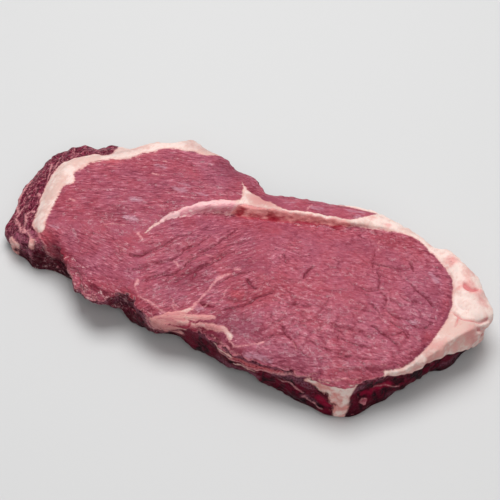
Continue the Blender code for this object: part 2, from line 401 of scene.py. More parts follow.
# %% [markdown]
# ## The layout of the cut
# The butcher's knife shows where each tissue lies. The patches below are drawn on the plan, seen from above:
# fat at the cap, along the seam and at the tail. The left end slopes out under the rim as a skirt of dark
# lean, so one more patch tells skirt from cut face.

# %% Where the fat lies
CAP_FAT_OUTER = [
    (-103, 3), (-108.5, 8), (-109.5, 17), (-110.5, 25), (-110.5, 34), (-110, 42), (-108, 49), (-104.5, 52),
    (-99, 55.5), (-94, 59), (-88, 57), (-85, 59), (-85, 66), (-84, 74),
]
CAP_FAT_BACK = [(-75, 80), (-65, 84), (-48, 86), (-38, 80), (-32.5, 72.5)]
CAP_FAT_INNER = [
    (-35, 70), (-40, 67), (-45, 68), (-50, 67.5), (-56, 67.5), (-61, 66), (-65, 62.5), (-70, 60), (-73, 57.5),
    (-76, 55), (-80, 54), (-86, 51.5), (-91, 49), (-95, 44), (-97.5, 40), (-96, 36), (-96.5, 33), (-100, 31),
    (-100.5, 24), (-101, 18), (-101, 10), (-100.5, 4.5),
]
SEAM_FAT = [
    (-47, 20.4), (-44, 22.6), (-41, 25), (-36, 28.8), (-30, 32.3), (-25, 34.1), (-20, 35.4),
    (-16.5, 36.4), (-14.5, 39.4), (0, 40), (10, 40.6), (20, 41.0), (30, 40.7), (45, 41.0), (60, 41.1),
    (66, 40.2), (71, 38.6), (75, 36.2), (79, 32.4), (88, 36), (80, 46), (70, 52), (60, 58), (49, 58),
    (50, 53), (47, 48.5), (44, 46.5), (40, 44.6), (35, 42.7), (30, 43.1), (20, 43.4), (15, 43), (10, 42),
    (6, 41.6), (3, 43), (0, 44.5), (-5, 45.5), (-8, 47), (-12, 48.5), (-15, 51), (-17.6, 54.5),
    (-16.4, 52), (-15.2, 47), (-15.6, 43.5), (-18, 41.3), (-24, 40.5), (-27, 39.3), (-30, 37.7),
    (-33, 36.3), (-36, 34), (-40, 30.8), (-43, 28), (-46, 24),
]
TAIL_FAT = [
    (77, 36), (80, 31.5), (85, 26), (88, 22.5), (90, 19), (91, 14), (91.5, 9), (92, 4), (91, -4),
    (89, -10.3), (86.3, -18), (83.1, -24.4), (79.4, -30), (75.5, -33.6), (71.8, -35.6), (69, -37.8),
    (76, -44), (100, -34), (128, -10), (128, 20), (102, 48), (84, 44),
]
SEAM_CREST = [
    (-53, 12), (-47, 21), (-40, 29), (-30, 34.5), (-21, 37.2), (-15, 39.5), (0, 40), (20, 41.3), (45, 42),
    (60, 42), (70, 40), (77, 36),
]
CUT_FLOORS = [  # steep places that still belong to the cut face
    [(-46, 20, 3), (-34, 31, 5), (-20, 37, 6), (0, 38, 6), (30, 40, 6), (62, 40, 5), (80, 32, 3)],
    [(-101, 3, 1.5), (-95, -1.5, 2.5), (-88, -6.6, 2), (-80, -12, 3), (-71, -18.5, 3.5), (-63, -22.5, 3)],
    [(-38, -31, 1.5), (-28, -29.6, 2.5), (-15, -29.4, 2.5), (-4, -33, 2.2), (1, -36.6, 1.5)],
]
SEAM_THREAD = [(-53.5, 11.5, 0.3), (-51.5, 14.5, 0.45), (-49.5, 18, 0.55), (-47, 21.5, 0.8), (-44, 26, 1.0)]
SKIRT = CAP_FAT_OUTER + [(-92, 78), (-120, 70), (-140, 40), (-140, 0), (-112, -14), (-97, -7.5)]
print("corners of the outline of the seam's fat:", len(SEAM_FAT))

# %% Smaller fat at the near rim
RIM_FAT = [
    [(-37.8, -32.2, 0.5), (-34, -32.2, 1.1), (-29, -31.0, 1.8), (-24, -30.2, 1.6)],
    [(-37, -33.2, 0.8), (-32, -33.0, 1.6), (-26, -32.0, 1.5), (-21, -31.4, 0.8)],
    [(-30, -30.3, 1.1), (-25, -28.4, 1.3), (-20.8, -26.2, 0.7)],
    [(-25, -30.0, 0.9), (-20, -29.4, 1.1), (-15, -29.0, 1.3), (-9.2, -28.4, 0.9)],
    [(-19, -32.0, 0.5), (-12, -32.2, 1.0), (-6, -33.0, 1.25), (-2, -34.4, 1.25), (0.2, -36.7, 1.1)],
    [(31, 53.0, 0.3), (37, 53.6, 1.3), (44, 53.6, 1.8), (52, 53.2, 2.0)],
    [(-106.1, -0.9, 1.6), (-105.6, -1.2, 1.6)],
]

# %% [markdown]
# ## Marks on the lean
# Threads of fat and gristle run through the muscle as pale strokes; the cracks between bundles of fibres are
# dark strokes, partly painted shade in the creases; moist silvery skin lies as soft patches of its own pale
# tint with a painted sheen over it. Each is a short list of strokes, with a half width at every point, so that
# a thread can swell and thin out.

# %% Pale threads and flecks
THREADS = [
    [(-20.5, -26, 0.9), (-18.8, -21, 0.8), (-16.8, -17, 0.65), (-15.5, -13, 0.75), (-14.3, -9, 1.0),
     (-12, -5.5, 1.05), (-8.5, -2.8, 0.6)],
    [(-16, -24, 0.5), (-13, -21.2, 0.45), (-9.8, -20.2, 0.4), (-8.2, -17, 0.4), (-8, -13, 0.45),
     (-6.8, -10.5, 0.3)],
    [(-7.4, 0.6, 0.9), (-5, 0.4, 0.8)],
    [(-76, 10.5, 0.3), (-73, 12, 0.45), (-68, 13.4, 0.5), (-64, 12.4, 0.3)],
    [(-56.3, 10.3, 1.0), (-54, 8, 0.8), (-52.2, 6.2, 0.3)],
    [(-45.5, -24.6, 0.6), (-40, -26, 0.7), (-35, -28.3, 0.6), (-31, -30, 0.8)],
    [(-49.6, -14.8, 0.6), (-48.6, -17.2, 1.1), (-48.4, -20, 0.5), (-46.6, -23, 0.3)],
    [(-24, -29, 0.9), (-20.5, -25.5, 1.0), (-19, -22, 0.8)],
    [(-30, -24.5, 0.3), (-27.5, -27.5, 0.5)],
    [(-60.6, 48.4, 0.8), (-57.8, 47.5, 0.7)],
    [(-74.4, 50.5, 0.35), (-71.3, 49.7, 0.4)],
    [(-79, 48.3, 0.35), (-77.3, 47.8, 0.3)],
    [(-94.2, 23.6, 0.9), (-92, 22.8, 0.8)],
    [(-72, 57.3, 0.5), (-69.6, 56.8, 0.5)],
    [(-36, -1, 0.6), (-34, -2.6, 0.7), (-32.4, -4.2, 0.3)],
    [(-22.4, 5.5, 0.35), (-20.4, 5.2, 0.55), (-18.8, 5, 0.3)],
    [(-49.4, 8.2, 0.4), (-48.8, 7.8, 0.4)],
    [(-3.2, 8.6, 0.25), (0, 6.5, 0.35), (2.2, 7.4, 0.25)],
    [(15, 17, 0.3), (17, 17.1, 0.3)],
    [(55, 17.2, 0.3), (61, 18.5, 0.35)],
    [(53.5, 34, 0.45), (53.4, 32, 0.5)],
    [(54, 28.8, 0.45), (54.1, 28, 0.4)],
    [(50, 13, 0.25), (53, 16.5, 0.3)],
    [(30, -1, 0.25), (33, 2, 0.3), (36, 4, 0.25)],
    [(60, -10, 0.35), (64, -12, 0.3)],
    [(67, -35, 0.3), (70, -34.6, 0.3)],
    [(43, -20, 0.3), (44, -25, 0.3)],
    [(17, 44.6, 0.6), (18.3, 48.2, 0.7)],
    [(36, 52.6, 0.5), (43, 53.6, 0.7), (50, 53.4, 0.8)],
    [(0, -38.6, 0.5), (3.5, -40.2, 0.6), (7, -40, 0.6), (10.5, -38.3, 0.55), (15, -36.4, 0.9)],
    [(-8.5, -35.6, 0.6), (-3.5, -39, 0.9), (1, -41.6, 0.9)],
    [(44, -48, 0.4), (52, -46.6, 0.5), (60, -43.4, 0.4)],
    [(27, -33, 0.35), (30.2, -37.4, 0.5)],
    [(-101, 33.4, 1.0), (-96.4, 33, 0.5)],
    [(-73, -24, 0.4), (-69, -25.6, 0.5), (-65.5, -26.3, 0.4)],
    [(-71, -22.3, 0.4), (-67, -24.6, 0.35)],
    [(-80, -17.5, 0.5), (-76.5, -21, 0.5)],
    [(-31.5, -21.5, 0.3), (-27.5, -26, 0.4)],
]
for x, y in [(-14.5, 37.3), (14.5, 37.4), (22, 36.3), (47.5, 43.7), (-57, 58)]:
    THREADS.append([(x - 0.8, y, 0.6), (x + 0.8, y + 0.2, 0.5)])

# %% Threads over the skirt at the left end
SKIRT_THREADS = [
    [(-113.8, 50, 0.3), (-111.8, 43, 0.4), (-111.2, 38, 0.3)],
    [(-111.3, 55, 0.25), (-110.4, 50, 0.35), (-110, 44, 0.4)],
    [(-121.6, 40, 0.4), (-122.9, 30, 0.6), (-122.6, 24, 0.6), (-120.5, 19, 0.5)],
    [(-115.2, 16, 0.5), (-112.8, 17.2, 0.45), (-110.4, 17, 0.6)],
    [(-115.2, 16, 0.5), (-112.7, 11, 0.5), (-112.2, 7, 0.45), (-110, 4, 0.5)],
    [(-119.4, 13.4, 0.5), (-115.3, 8, 0.5), (-112.4, 4.8, 0.5), (-110, 4, 0.6)],
    [(-117, 10, 0.45), (-113, 5.5, 0.45), (-110.8, 3.4, 0.5)],
    [(-119.4, 13.4, 0.45), (-119.8, 17.5, 0.4), (-117.6, 21.5, 0.35)],
    [(-113.4, 29.3, 0.45), (-110.5, 26.3, 0.8)],
    [(-117.8, 28.2, 0.5), (-117.2, 27.8, 0.5)],
    [(-109.6, 4.2, 0.5), (-107.4, 1.8, 0.4), (-106.6, -0.6, 0.4)],
]
SKIRT_FAT = [
    [(-119.5, 4.6, 0.4), (-116.5, 1.4, 1.0), (-112.8, -1.6, 0.9)],
]

# %% Cracks between the bundles of fibres; their dark red is partly painted shade in the creases
CRACKS = [
    [(-56, -2.6, 0.4), (-52.5, -2.2, 0.9), (-50, -0.6, 0.7), (-48, 1.4, 0.3)],
    [(-52, -10, 0.6), (-49.5, -9, 0.5), (-44, -5, 0.3), (-38, -1, 0.25)],
    [(-45, -16, 0.25), (-42, -11.6, 0.4), (-34.5, -9, 0.45), (-31, -4.6, 0.4), (-28.5, -2.6, 0.2)],
    [(-30.5, -8.4, 0.25), (-25, -4.6, 0.5), (-22, -1, 0.65), (-20, 1.4, 0.35)],
    [(-25, -10, 0.35), (-24, -6, 0.5)],
    [(-31, -4.4, 0.25), (-28.6, 0.4, 0.35), (-22.6, 6, 0.2)],
    [(-18.6, 1.4, 0.2), (-17.4, 5, 0.3), (-9.6, 10, 0.2)],
    [(-33.6, 7, 0.25), (-28, 11, 0.35), (-23, 18, 0.2)],
    [(-22, 9.4, 0.25), (-17.4, 16.6, 0.3), (-12, 20, 0.2)],
    [(-15, 13, 0.15), (-6.6, 18, 0.25), (-1, 21, 0.15)],
    [(-48.4, 1, 0.2), (-43.6, 5.3, 0.35), (-38.4, 12.7, 0.3), (-32.4, 16.6, 0.2)],
    [(-46, -4.5, 0.2), (-36.6, -0.4, 0.35), (-32.3, 6.9, 0.3), (-26.4, 11.4, 0.2)],
    [(-32, -13, 0.2), (-26.5, -7, 0.3), (-20, -1, 0.35), (-13.5, 6.7, 0.2)],
    [(-42.8, -13, 0.2), (-39, -10, 0.4), (-36, -6.3, 0.3)],
    [(-13.6, -11.7, 0.2), (-7.5, -4, 0.35), (0, -0.4, 0.2)],
    [(-29, 2.8, 0.2), (-20.6, 11, 0.3), (-16.4, 18.2, 0.3), (-12.4, 25.3, 0.15)],
    [(27.2, 9.2, 0.4), (25.2, 5.4, 0.55), (25, 2, 0.4)],
    [(0, -5, 0.8), (2.4, -7.6, 0.6), (5, -9.2, 0.3)],
    [(13.4, -8.8, 0.3), (7.6, -13.4, 0.5), (2, -19, 0.55), (-6, -23.2, 0.5)],
    [(-17.5, -21.5, 0.5), (-14.8, -23, 0.8), (-11.6, -22.6, 0.5)],
    [(12.6, 14.4, 0.2), (14.6, 9, 0.35)],
    [(19.4, 14.2, 0.2), (23.6, 16, 0.35)],
    [(20, -13.2, 0.2), (25, -13.8, 0.3), (31, -13.4, 0.2)],
    [(21, -26, 0.3), (24, -30, 0.4), (28, -34, 0.35), (31, -38, 0.3)],
    [(12, -37, 0.25), (16, -34, 0.35), (20, -31, 0.35), (24, -30, 0.35)],
    [(50.6, 3.6, 0.3), (54.2, 2.2, 0.4), (58.4, 4.4, 0.4), (57.8, 10.4, 0.35), (56.4, 13.6, 0.3)],
    [(54.4, 18.6, 0.25), (61, 19, 0.35), (70, 19.6, 0.2)],
    [(54.4, 13, 0.15), (53.4, 19, 0.25), (52.4, 28.4, 0.15)],
    [(70, 24, 0.5), (71, 21.6, 0.5), (72, 19.4, 0.3)],
    [(72.6, 11.4, 0.25), (75.8, 8, 0.35), (80.4, 5, 0.4), (84.6, 0.6, 0.25)],
    [(69.2, 2.8, 0.2), (73.2, 1.4, 0.35), (77.4, 1.8, 0.25)],
    [(60, 3, 0.2), (62.6, 1, 0.3), (63, -3, 0.3), (62.4, -6.8, 0.2)],
    [(56, -4.8, 0.2), (59.2, -6.6, 0.3), (61.4, -9, 0.25)],
    [(64.2, -6.4, 0.25), (69.2, -9, 0.4), (74, -9, 0.35), (77.8, -11.6, 0.45), (82, -11.6, 0.4),
     (85, -8, 0.2)],
    [(59.6, -16, 0.3), (63.8, -18.6, 0.5), (67.4, -20.4, 0.5), (72, -23.6, 0.3)],
    [(67.4, -19.6, 0.25), (71.4, -17.6, 0.3), (73.8, -15.8, 0.35), (76.4, -18.8, 0.25)],
    [(67, -11.8, 0.25), (72.6, -14.6, 0.3)],
    [(42.4, -20.4, 0.25), (47, -21, 0.35), (56.2, -20.6, 0.25)],
    [(48.6, -9.2, 0.25), (51, -9.8, 0.35), (56.6, -9, 0.2)],
    [(46, -26, 0.2), (54, -28, 0.35), (62, -28, 0.25)],
    [(40, -33, 0.2), (48, -34.5, 0.3), (56, -35, 0.3), (66, -33, 0.2)],
]

# %% Pits, which are wider and deeper than cracks, and whose near-black red is partly painted shade in the hollows
PITS = [
    [(-55, -24.3, 1.0), (-51.5, -25.6, 1.6), (-48.6, -26.8, 0.9)],
    [(-104.6, -3.3, 0.8), (-98.2, -4.4, 1.4), (-92.5, -5.6, 1.4), (-88.4, -8.6, 0.8)],
    [(-93.6, -8.8, 0.9), (-90, -10.4, 1.7), (-86.6, -11, 1.2)],
]
KNOBS = [(-2.6, -14.4, 4.8, 3.4, 5, 1.0)]  # small raised lumps, as soft oval spots
print(len(PITS), "pits and", len(KNOBS), "knob")

# %% Dark lines of painted shade, under the knob and along the near rim and the torn edge, which lie level with the lean
SHADE_LINES = [
    [(-17, -32.6, 0.5), (-11, -34, 1.1), (-7, -36, 1.4), (-3.6, -38.4, 1.1)],
    [(-1, -38.6, 0.4), (3, -41, 0.8), (8, -42.4, 0.5)],
    [(-33, -33.6, 0.5), (-24, -33.6, 1.0), (-16, -34.4, 0.6)],
    [(-96, 1, 0.8), (-92, -3, 1.2), (-87, -6, 0.8)],
    [(-70, -21, 0.5), (-63, -24.6, 1.0), (-57, -25.4, 0.8)],
    [(-5.6, -16.8, 0.3), (-2.4, -17.2, 0.7), (1.4, -16.4, 0.3)],
    [(72, -35.2, 0.3), (62, -38.6, 0.6), (50, -42.2, 0.4)],
]

# %% Silvery skin, its own pale tint with a painted sheen
SKIN_AND_SHEEN_STROKES = [
    [(-48.4, 41.2, 1.0), (-45, 41.4, 1.4), (-41.6, 41.2, 1.0)],
    [(-65.4, 29.6, 1.0), (-61.4, 29.6, 1.2)],
    [(-64.5, 18.3, 1.5), (-60.6, 18, 1.7)],
    [(-98, 5.8, 0.8), (-94.6, 5.2, 0.9)],
    [(-18.4, -25.6, 0.8), (-15.6, -24.6, 0.8)],
    [(-61, 54.5, 0.7), (-56.5, 54, 0.8)],
    [(43, 46.2, 0.6), (39, 45.8, 0.6)],
    [(-46, 45.6, 0.4), (-41, 45.2, 0.5)],
    [(-36, 41.5, 0.4), (-31.5, 41.6, 0.5)],
    [(80, 20, 0.8), (84, 16, 1.0)],
    [(18, 46.4, 0.6), (24, 47, 0.8)],
    [(36, 49.2, 0.7), (43, 49.8, 0.8)],
    [(6, 47.2, 0.5), (10, 47.6, 0.6)],
    [(77.4, -10, 0.6), (74.5, -9.6, 0.5)],
    [(24, -46.8, 0.8), (31, -47.2, 0.8)],
    [(8, -43.5, 0.9), (14, -43.2, 1.0), (20, -44.4, 0.8)],
]

# %% Folds in the tail's fat, whose creases are painted pink, partly the fat's own tint and partly painted shade
TAIL_CREASES = [
    [(95.4, 17.4, 0.5), (96.4, 15.8, 1.3), (98.6, 14.6, 1.4), (100.6, 15.2, 0.9), (102.2, 16.6, 0.3)],
    [(92.4, 1.0, 0.1), (95.1, -0.9, 0.45), (97.4, -2.6, 0.5), (101.7, -2.5, 0.5), (105.6, -0.6, 0.5),
     (108.4, 3.2, 0.3)],
    [(95.7, -2.4, 0.4), (95.6, -5, 0.4), (95.2, -7.8, 0.2)],
    [(93.6, 8.2, -0.2), (94.6, 5, -0.05), (97, 2.8, 0.0), (100, 2.4, -0.2)],
    [(104.6, -5.6, 0.3), (106.6, -3.4, 0.45), (107.6, -1, 0.3)],
]
TAIL_RIDGES = [
    [(94.8, 13.4, 0.8), (97.6, 11.8, 1.2), (101.4, 13.0, 1.2), (103.6, 15.6, 0.8)],
    [(99, 5.6, 2.4), (103.5, 4.4, 2.6), (108, 4.4, 1.6)],
    [(104.2, -4.0, 0.8), (99, -10.6, 1.2), (94.1, -15.4, 1.2), (89, -21.2, 1.0), (84, -27.6, 0.8)],
]
SHAVES = [  # trims of the tail: a place on the plane, then the plane's normal
    ((101, 18, 23.4), (0.16, 0.10, 1.0)), ((106.5, 17, 20), (1.0, 0.52, 0.55)),
    ((98.5, 27, 21), (0.72, 0.95, 0.75)), ((100, -5.5, 23.0), (0.10, -0.10, 1.0)),
    ((97.5, -13.5, 19), (0.72, -0.72, 0.30)), ((108.2, -3.5, 14), (1.0, -0.42, 0.10)),
]
print(len(THREADS), "threads,", len(CRACKS), "cracks,", len(TAIL_CREASES), "folds in the tail")

# %% [markdown]
# ## The side of the steak
# Seen from the front the side is a strip, so its marks are drawn as (distance along x, height, half width).
# Here the cut runs through the ends of muscles, flaps of fat and dark moist flesh.

# %% Marks on the near side
SIDE_FAT = [
    [(-40, 17.2, 0.8), (-34, 17.2, 2.0), (-28, 17.4, 2.3), (-21.5, 19, 1.5)],
    [(-25, 16, 0.9), (-22, 12.6, 0.5)],
    [(-6, 17.4, 0.6), (-2, 17.8, 1.2), (2, 16.8, 0.8)],
    [(3, 11.6, 0.3), (8, 12, 0.6), (13, 12.8, 0.3)],
]
SIDE_THREADS = [
    [(-19, 20.8, 0.4), (-12, 21, 0.5), (-7, 20, 0.5)],
    [(-5, 16.6, 0.4), (2, 15.0, 0.7), (8, 14.4, 0.7), (14, 14.8, 0.8), (20, 16.0, 0.7), (26, 17.6, 0.7),
     (33, 19.2, 0.6), (40, 20.6, 0.5), (47, 21.6, 0.4), (54, 21.8, 0.4), (61, 21.2, 0.5), (66, 20.4, 0.6)],
    [(24, 12.4, 0.3), (30, 12.6, 0.4), (36, 10.4, 0.3)],
    [(36, 8, 0.4), (41, 5.4, 0.4), (45, 4, 0.3)],
    [(66, 14, 0.3), (71, 11, 0.3), (76, 9.4, 0.3)],
]
CORNER_FAT = [
    (36, 17), (38, 19.4), (42, 21.6), (48, 22.8), (58, 22.9), (58.6, 18), (56.8, 13), (56.6, 8), (55.4, 0.4),
    (50.6, 0.4), (49.8, 4), (50.6, 8), (48.4, 10.6), (47, 14.6), (43, 14.4), (41, 16.8),
]
TAIL_FAT_FOOT = [  # (x, height) of the lower edge of the tail's fat
    (62, 20), (70, 19), (75, 15), (80, 15), (84, 13), (90, 11.5), (97, 12.5), (101, 13), (105, 4),
    (109, -2),
]
SIDE_GREY = [  # patches of greyish skin
    [(-112, 6, 2.6), (-104, 5, 3.0)],
    [(-50, 15, 1.6), (-43, 16, 2.2)],
    [(-4, 8, 2.4), (6, 7.6, 2.8), (14, 9, 2.0)],
    [(22, 15.4, 1.4), (32, 16, 2.0), (40, 14.6, 1.4)],
    [(56.5, 16, 1.8), (61, 15.6, 2.0)],
    [(36, 8, 1.4), (42, 6.4, 1.2)],
    [(72, 4, 1.4), (82, 3.4, 1.8)],
    [(93, 6, 1.4), (98, 5, 1.6)],
]
SALMON_SIDES = [[(-4, 18.4, 0.6), (4, 16.8, 1.0), (11, 16.6, 1.1), (19, 17.2, 0.9), (26, 18.4, 0.5)]]
RIM_HEIGHTS = [  # (x, height) of the rim above the side
    (-112, 9), (-90, 13), (-60, 15), (-20, 19), (0, 18.4), (16, 17), (33, 19.4), (54, 22), (68, 20),
    (92, 15),
]
# hollows: deep places under the torn edge that get painted shade
SHADED_HOLLOWS = [  # deep places under the torn edge, which stay dark
    [(-98, 9, 2.0), (-91, 9.5, 3.2), (-85, 9, 2.0)],
    [(-58, 13, 1.5), (-52, 13.6, 2.5), (-47, 13.4, 1.5)],
]
RED_SIDES = [  # moist red flesh
    [(2, 14.6, 1.2), (12, 15, 1.2), (20, 16.2, 1.0)],
    [(44, 9, 2.4), (47.4, 7, 1.8)],
    [(61.6, 10.4, 1.2), (64, 10, 1.2)],
    [(44, 2.4, 1.4), (48, 3, 1.4)],
    [(66, 12, 2.0), (71, 11.5, 2.0)],
]
print("marks on the near side:", len(SIDE_FAT + SIDE_THREADS + SIDE_GREY + SALMON_SIDES + RED_SIDES))

# %% [markdown]
# ## Ease the outline
# The smooth modifier draws every corner in, and a butcher's hand leaves an outline that no even curve has. A
# grab brush would mend that by hand: it moves what lies within its reach, most at its middle. A grab is kept
# here as its middle, its reach and how far it moves in plan.

# %% Grabs: x, y, z, reach, then the move in x and y
GRABS = [
    (-125, 11, 8, 11, -4.0, 0.0), (-120, 26, 8, 16, -1.7, 0.2), (-117, 42, 10, 16, -1.5, 1.0),
    (-115, 58, 11, 12, -2.0, 2.4), (-103, 63, 12, 13, 0.0, 4.2), (-88, 66, 14, 13, 0.0, 3.2),
    (-70, 73, 16, 15, 0.0, 3.4), (-50, 78, 17, 15, 0.2, 2.2), (-32, 71, 17, 15, 1.8, 2.4),
    (-15, 60, 17, 15, 2.8, 3.8), (2, 55, 17, 14, 0.4, 1.8), (20, 56, 17, 14, 0.0, 1.4),
    (38, 55, 17, 14, 0.0, 1.3), (83, 40, 18, 8, 0.6, 2.8), (94, 33, 18, 9, -1.5, -1.9),
    (110, 8, 15, 8, 3.0, 0.6), (113, 4, 13, 5, 1.4, 0.2), (109, -3, 12, 8, -1.8, 1.0),
    (102, -9, 5, 8, -1.4, 1.8), (92, -11, 3, 11, 1.6, -4.4), (90, -22, 5, 8, 0.6, -1.4),
    (76, -36, 5, 12, 0.8, -2.0), (61, -46, 4, 12, 0.8, -2.0), (47, -50, 4, 12, 0.0, -1.4),
    (32, -48, 4, 13, 0.0, -2.3), (20, -47, 4, 11, 0.0, -1.0), (8, -43, 5, 12, 0.0, 2.0),
    (-8, -40, 4, 10, 0.0, -1.6), (-29, -33, 4, 13, 0.0, 4.6), (-66, -24, 4, 13, 0.5, 6.0),
    (-88, -12, 4, 13, 0.8, 5.0), (-98, -8, 3, 11, 0.6, 4.0), (-112, -3, 4, 11, 1.2, 3.2),
    (-57, -27, 5, 9, 0.4, -3.8),
]


def grab(piece):
    """Moves the skin by every grab, and leaves heights as they are."""
    places, _ = read_skin(piece)
    moved = places.copy()
    for x, y, z, reach, move_x, move_y in GRABS:
        share = ease(1 - np.linalg.norm(places - (x, y, z), axis=1) / reach)
        moved[:, 0] += move_x * share
        moved[:, 1] += move_y * share
    write_skin(piece, moved)
    print("the outline moves by up to", np.abs(moved - places).max().round(2), "mm")


grab(steak)

# %% [markdown]
# ## Sculpt
# Now the rules push the fine skin in and out along its normals. The fat stands a little proud of the lean,
# the seam ends in a crisp step, the tail is folded, the lean is drawn into fibres on the left and broken into
# a net of bundles on the right, and the side is lumpy and torn. The flat foot stays where it is. All that is
# known of the points is gathered under plain names in one dictionary, t, with a number for each point.

# %% Which tissue each point belongs to
FIBRE_TURNS = {"cap": 12, "lower_left": -15, "eye_left": 33}  # degrees, for each zone of fibres
ZONES = {
    "cap": [(-108, 4), (-80, 9), (-56, 10), (-48, 21), (-40, 30), (-22, 39), (-8, 42), (62, 52), (60, 84),
            (-50, 94), (-130, 66), (-130, 4)],
    "lower_left": [(-118, 4), (-80, 9), (-57, 9), (-50, -5), (-47, -44), (-112, -44)],
    "eye_left": [(-57, 9), (-48, 21), (-40, 30), (-22, 39), (-8, 40), (6, 38), (2, 10), (10, -14), (0, -56),
                 (-47, -46), (-50, -5)],
}
ZONE_BLEND = 7.0
RAGGED = ((3.4, 0.55), (1.5, 0.28))  # size and depth of the ragged edges of all tissues
NET_STIRS = ((2.4, 9, 21), (1.0, 3.2, 23))  # depth, size and seed of the bends in the net of cracks
DEPTH_LIMIT = 6  # the fat's depth is kept up to this
SINK, SIDE_SINK = 3, 4  # how deep a mark sinks where it doesn't belong
NOWHERE = 99  # a distance that no rule reaches


def ragged_plan(places):
    """The first two measures of each place, stirred so that edges come out ragged, less so by the tail."""
    stirred = places[:, :2].copy()
    calm = 1 - 0.65 * ease(places[:, 0], 55, 75)
    for size, depth in RAGGED:
        stirred[:, 0] += calm * depth * lumps(places, size, 41)
        stirred[:, 1] += calm * depth * lumps(places, size, 42)
    return stirred


def only_on(share, depth, sink=SINK):
    """A depth that sinks where the share falls from 1 to 0."""
    return depth - sink * (1 - share)


# %% Face, skirt and side
def read_ground(t, places, normals, plan):
    """How far each point belongs to the skirt, the cut face, the near side and the flat foot."""
    t["skirt"] = ease(patch_depth(SKIRT, plan), -0.5, 1.0)
    facing = np.maximum(ease(normals[:, 2], 0.42, 0.78), ease(-normals[:, 2], 0.8, 0.97))
    floors = ease(strokes_depth(CUT_FLOORS, places[:, :2], 2.0), -2.0, 1.0) * ease(places[:, 2], 9, 12)
    t["cut"] = np.maximum(facing * (1 - t["skirt"]), floors)
    t["near"] = ease(-normals[:, 1], -0.1, 0.3) * ease(places[:, 1], 12, 4) * (1 - t["cut"])
    t["foot"] = ease(places[:, 2], 0.4, 2.4)  # 0 on the flat foot


# %% Fat and threads
RIM_FAT_FOOT = 13  # the fat at the rim thins out below this height
THREAD_TRIM, SKIRT_THREAD_GAIN = 0.18, 0.15  # threads are finer on the face and fatter on the skirt


def read_fat(t, places, plan, strip):
    """Depths of the fat and of the pale threads."""
    seam = patch_depth(SEAM_FAT, plan)
    cap = patch_depth(CAP_FAT_OUTER + CAP_FAT_BACK + CAP_FAT_INNER, plan)
    tail = patch_depth(TAIL_FAT, plan)
    hem = places[:, 2] - np.interp(places[:, 0], *np.array(TAIL_FAT_FOOT, float).T) + lumps(places, 4.0, 5)
    tail = np.where(t["near"] > 0.02, np.minimum(tail, hem), tail)
    below = RIM_FAT_FOOT - np.minimum(places[:, 2], RIM_FAT_FOOT)
    rim_fat = strokes_depth(RIM_FAT + [SEAM_THREAD], plan) - 0.5 * below
    side_fat = np.maximum(strokes_depth(SIDE_FAT, strip), patch_depth(CORNER_FAT, strip))
    side_fat = only_on(t["near"], side_fat, DEPTH_LIMIT)
    skirt_fat = only_on(t["skirt"], strokes_depth(SKIRT_FAT, plan), DEPTH_LIMIT)
    fat = np.maximum.reduce([seam, cap, tail, rim_fat, side_fat, skirt_fat])
    t["fat"] = np.clip(fat, -DEPTH_LIMIT, DEPTH_LIMIT)
    t["thread"] = np.maximum.reduce([
        only_on(t["cut"], strokes_depth(THREADS, plan)) - THREAD_TRIM,
        only_on(t["skirt"], strokes_depth(SKIRT_THREADS, plan) + SKIRT_THREAD_GAIN),
        strokes_depth(SIDE_THREADS, strip) - SINK * ease(1 - t["near"], 0.6, 0.98),
    ])


# %% Other marks
def read_marks(t, places, normals, plan, strip):
    """Depths of all other marks, on the face and on the side."""
    t["crack"] = only_on(t["cut"], strokes_depth(CRACKS, plan))
    t["silver"] = only_on(t["cut"], strokes_depth(SKIN_AND_SHEEN_STROKES, plan))
    t["pit"] = only_on(places[:, 2] >= 3, strokes_depth(PITS, plan))
    t["bruise"] = only_on(places[:, 2] >= 8, strokes_depth(SHADE_LINES, plan))
    t["fold"] = only_on(normals[:, 2] >= 0.1, strokes_depth(TAIL_CREASES, plan))
    for name, strokes in (("grey", SIDE_GREY), ("red", RED_SIDES), ("salmon", SALMON_SIDES)):
        t[name] = only_on(t["near"], strokes_depth(strokes, strip), SIDE_SINK)
    rim_height = np.interp(places[:, 0], *np.array(RIM_HEIGHTS, float).T)
    t["lip"] = ease(places[:, 2] - rim_height, -5, 0) * t["near"]
    hollow_shade = ease(strokes_depth(SHADED_HOLLOWS, strip), -2.0, 1.0)
    # low: painted shade, darker towards the foot of the near side and in the hollows under the torn edge
    t["low"] = np.maximum(ease(places[:, 2], 10, 1), hollow_shade) * t["near"]


# %% Zones of fibres, the seam and the net
def read_zones(t, plan):
    """How far each point belongs to each zone of fibres."""
    for zone, outline in ZONES.items():
        t[zone] = ease(patch_depth(outline, plan), -ZONE_BLEND, ZONE_BLEND)
    t["eye_right"] = np.clip(1 - t["cap"] - t["lower_left"] - t["eye_left"], 0, 1)


def read_seam(t, plan):
    """Distance from the seam's crest, positive behind it, and 0 to 1 for its ends."""
    gap, share, side = line_gap(smooth_line(SEAM_CREST), plan)
    t["seam_ends"] = ease(share, 0.16, 0.34) * ease(share, 0.92, 0.7)
    t["crest"] = np.where(t["seam_ends"] > 0, gap * side, NOWHERE)


def read_net(t, places):
    """Distances from the coarse and the fine net of cracks, and where the net is broken up."""
    stirred = turned(places, -5)[:, :2]
    for depth, size, seed in NET_STIRS:
        stirred = stirred + depth * np.stack([lumps(places, size, seed), lumps(places, size, seed + 1)], 1)
    t["net"] = net_gap(stirred * (0.52, 1.0), 4.6, 1)
    t["fine_net"] = net_gap(stirred * (0.6, 1.1), 2.5, 2)
    t["broken"] = lumps(places, 8, 31)


# %% All rules together
def read_tissue(places, normals):
    """All that the rules know of the points."""
    plan = ragged_plan(places)
    strip = ragged_plan(places[:, (0, 2, 1)])
    t = {}
    read_ground(t, places, normals, plan)
    read_fat(t, places, plan, strip)
    read_marks(t, places, normals, plan, strip)
    read_zones(t, plan)
    read_seam(t, plan)
    read_net(t, places)
    return t


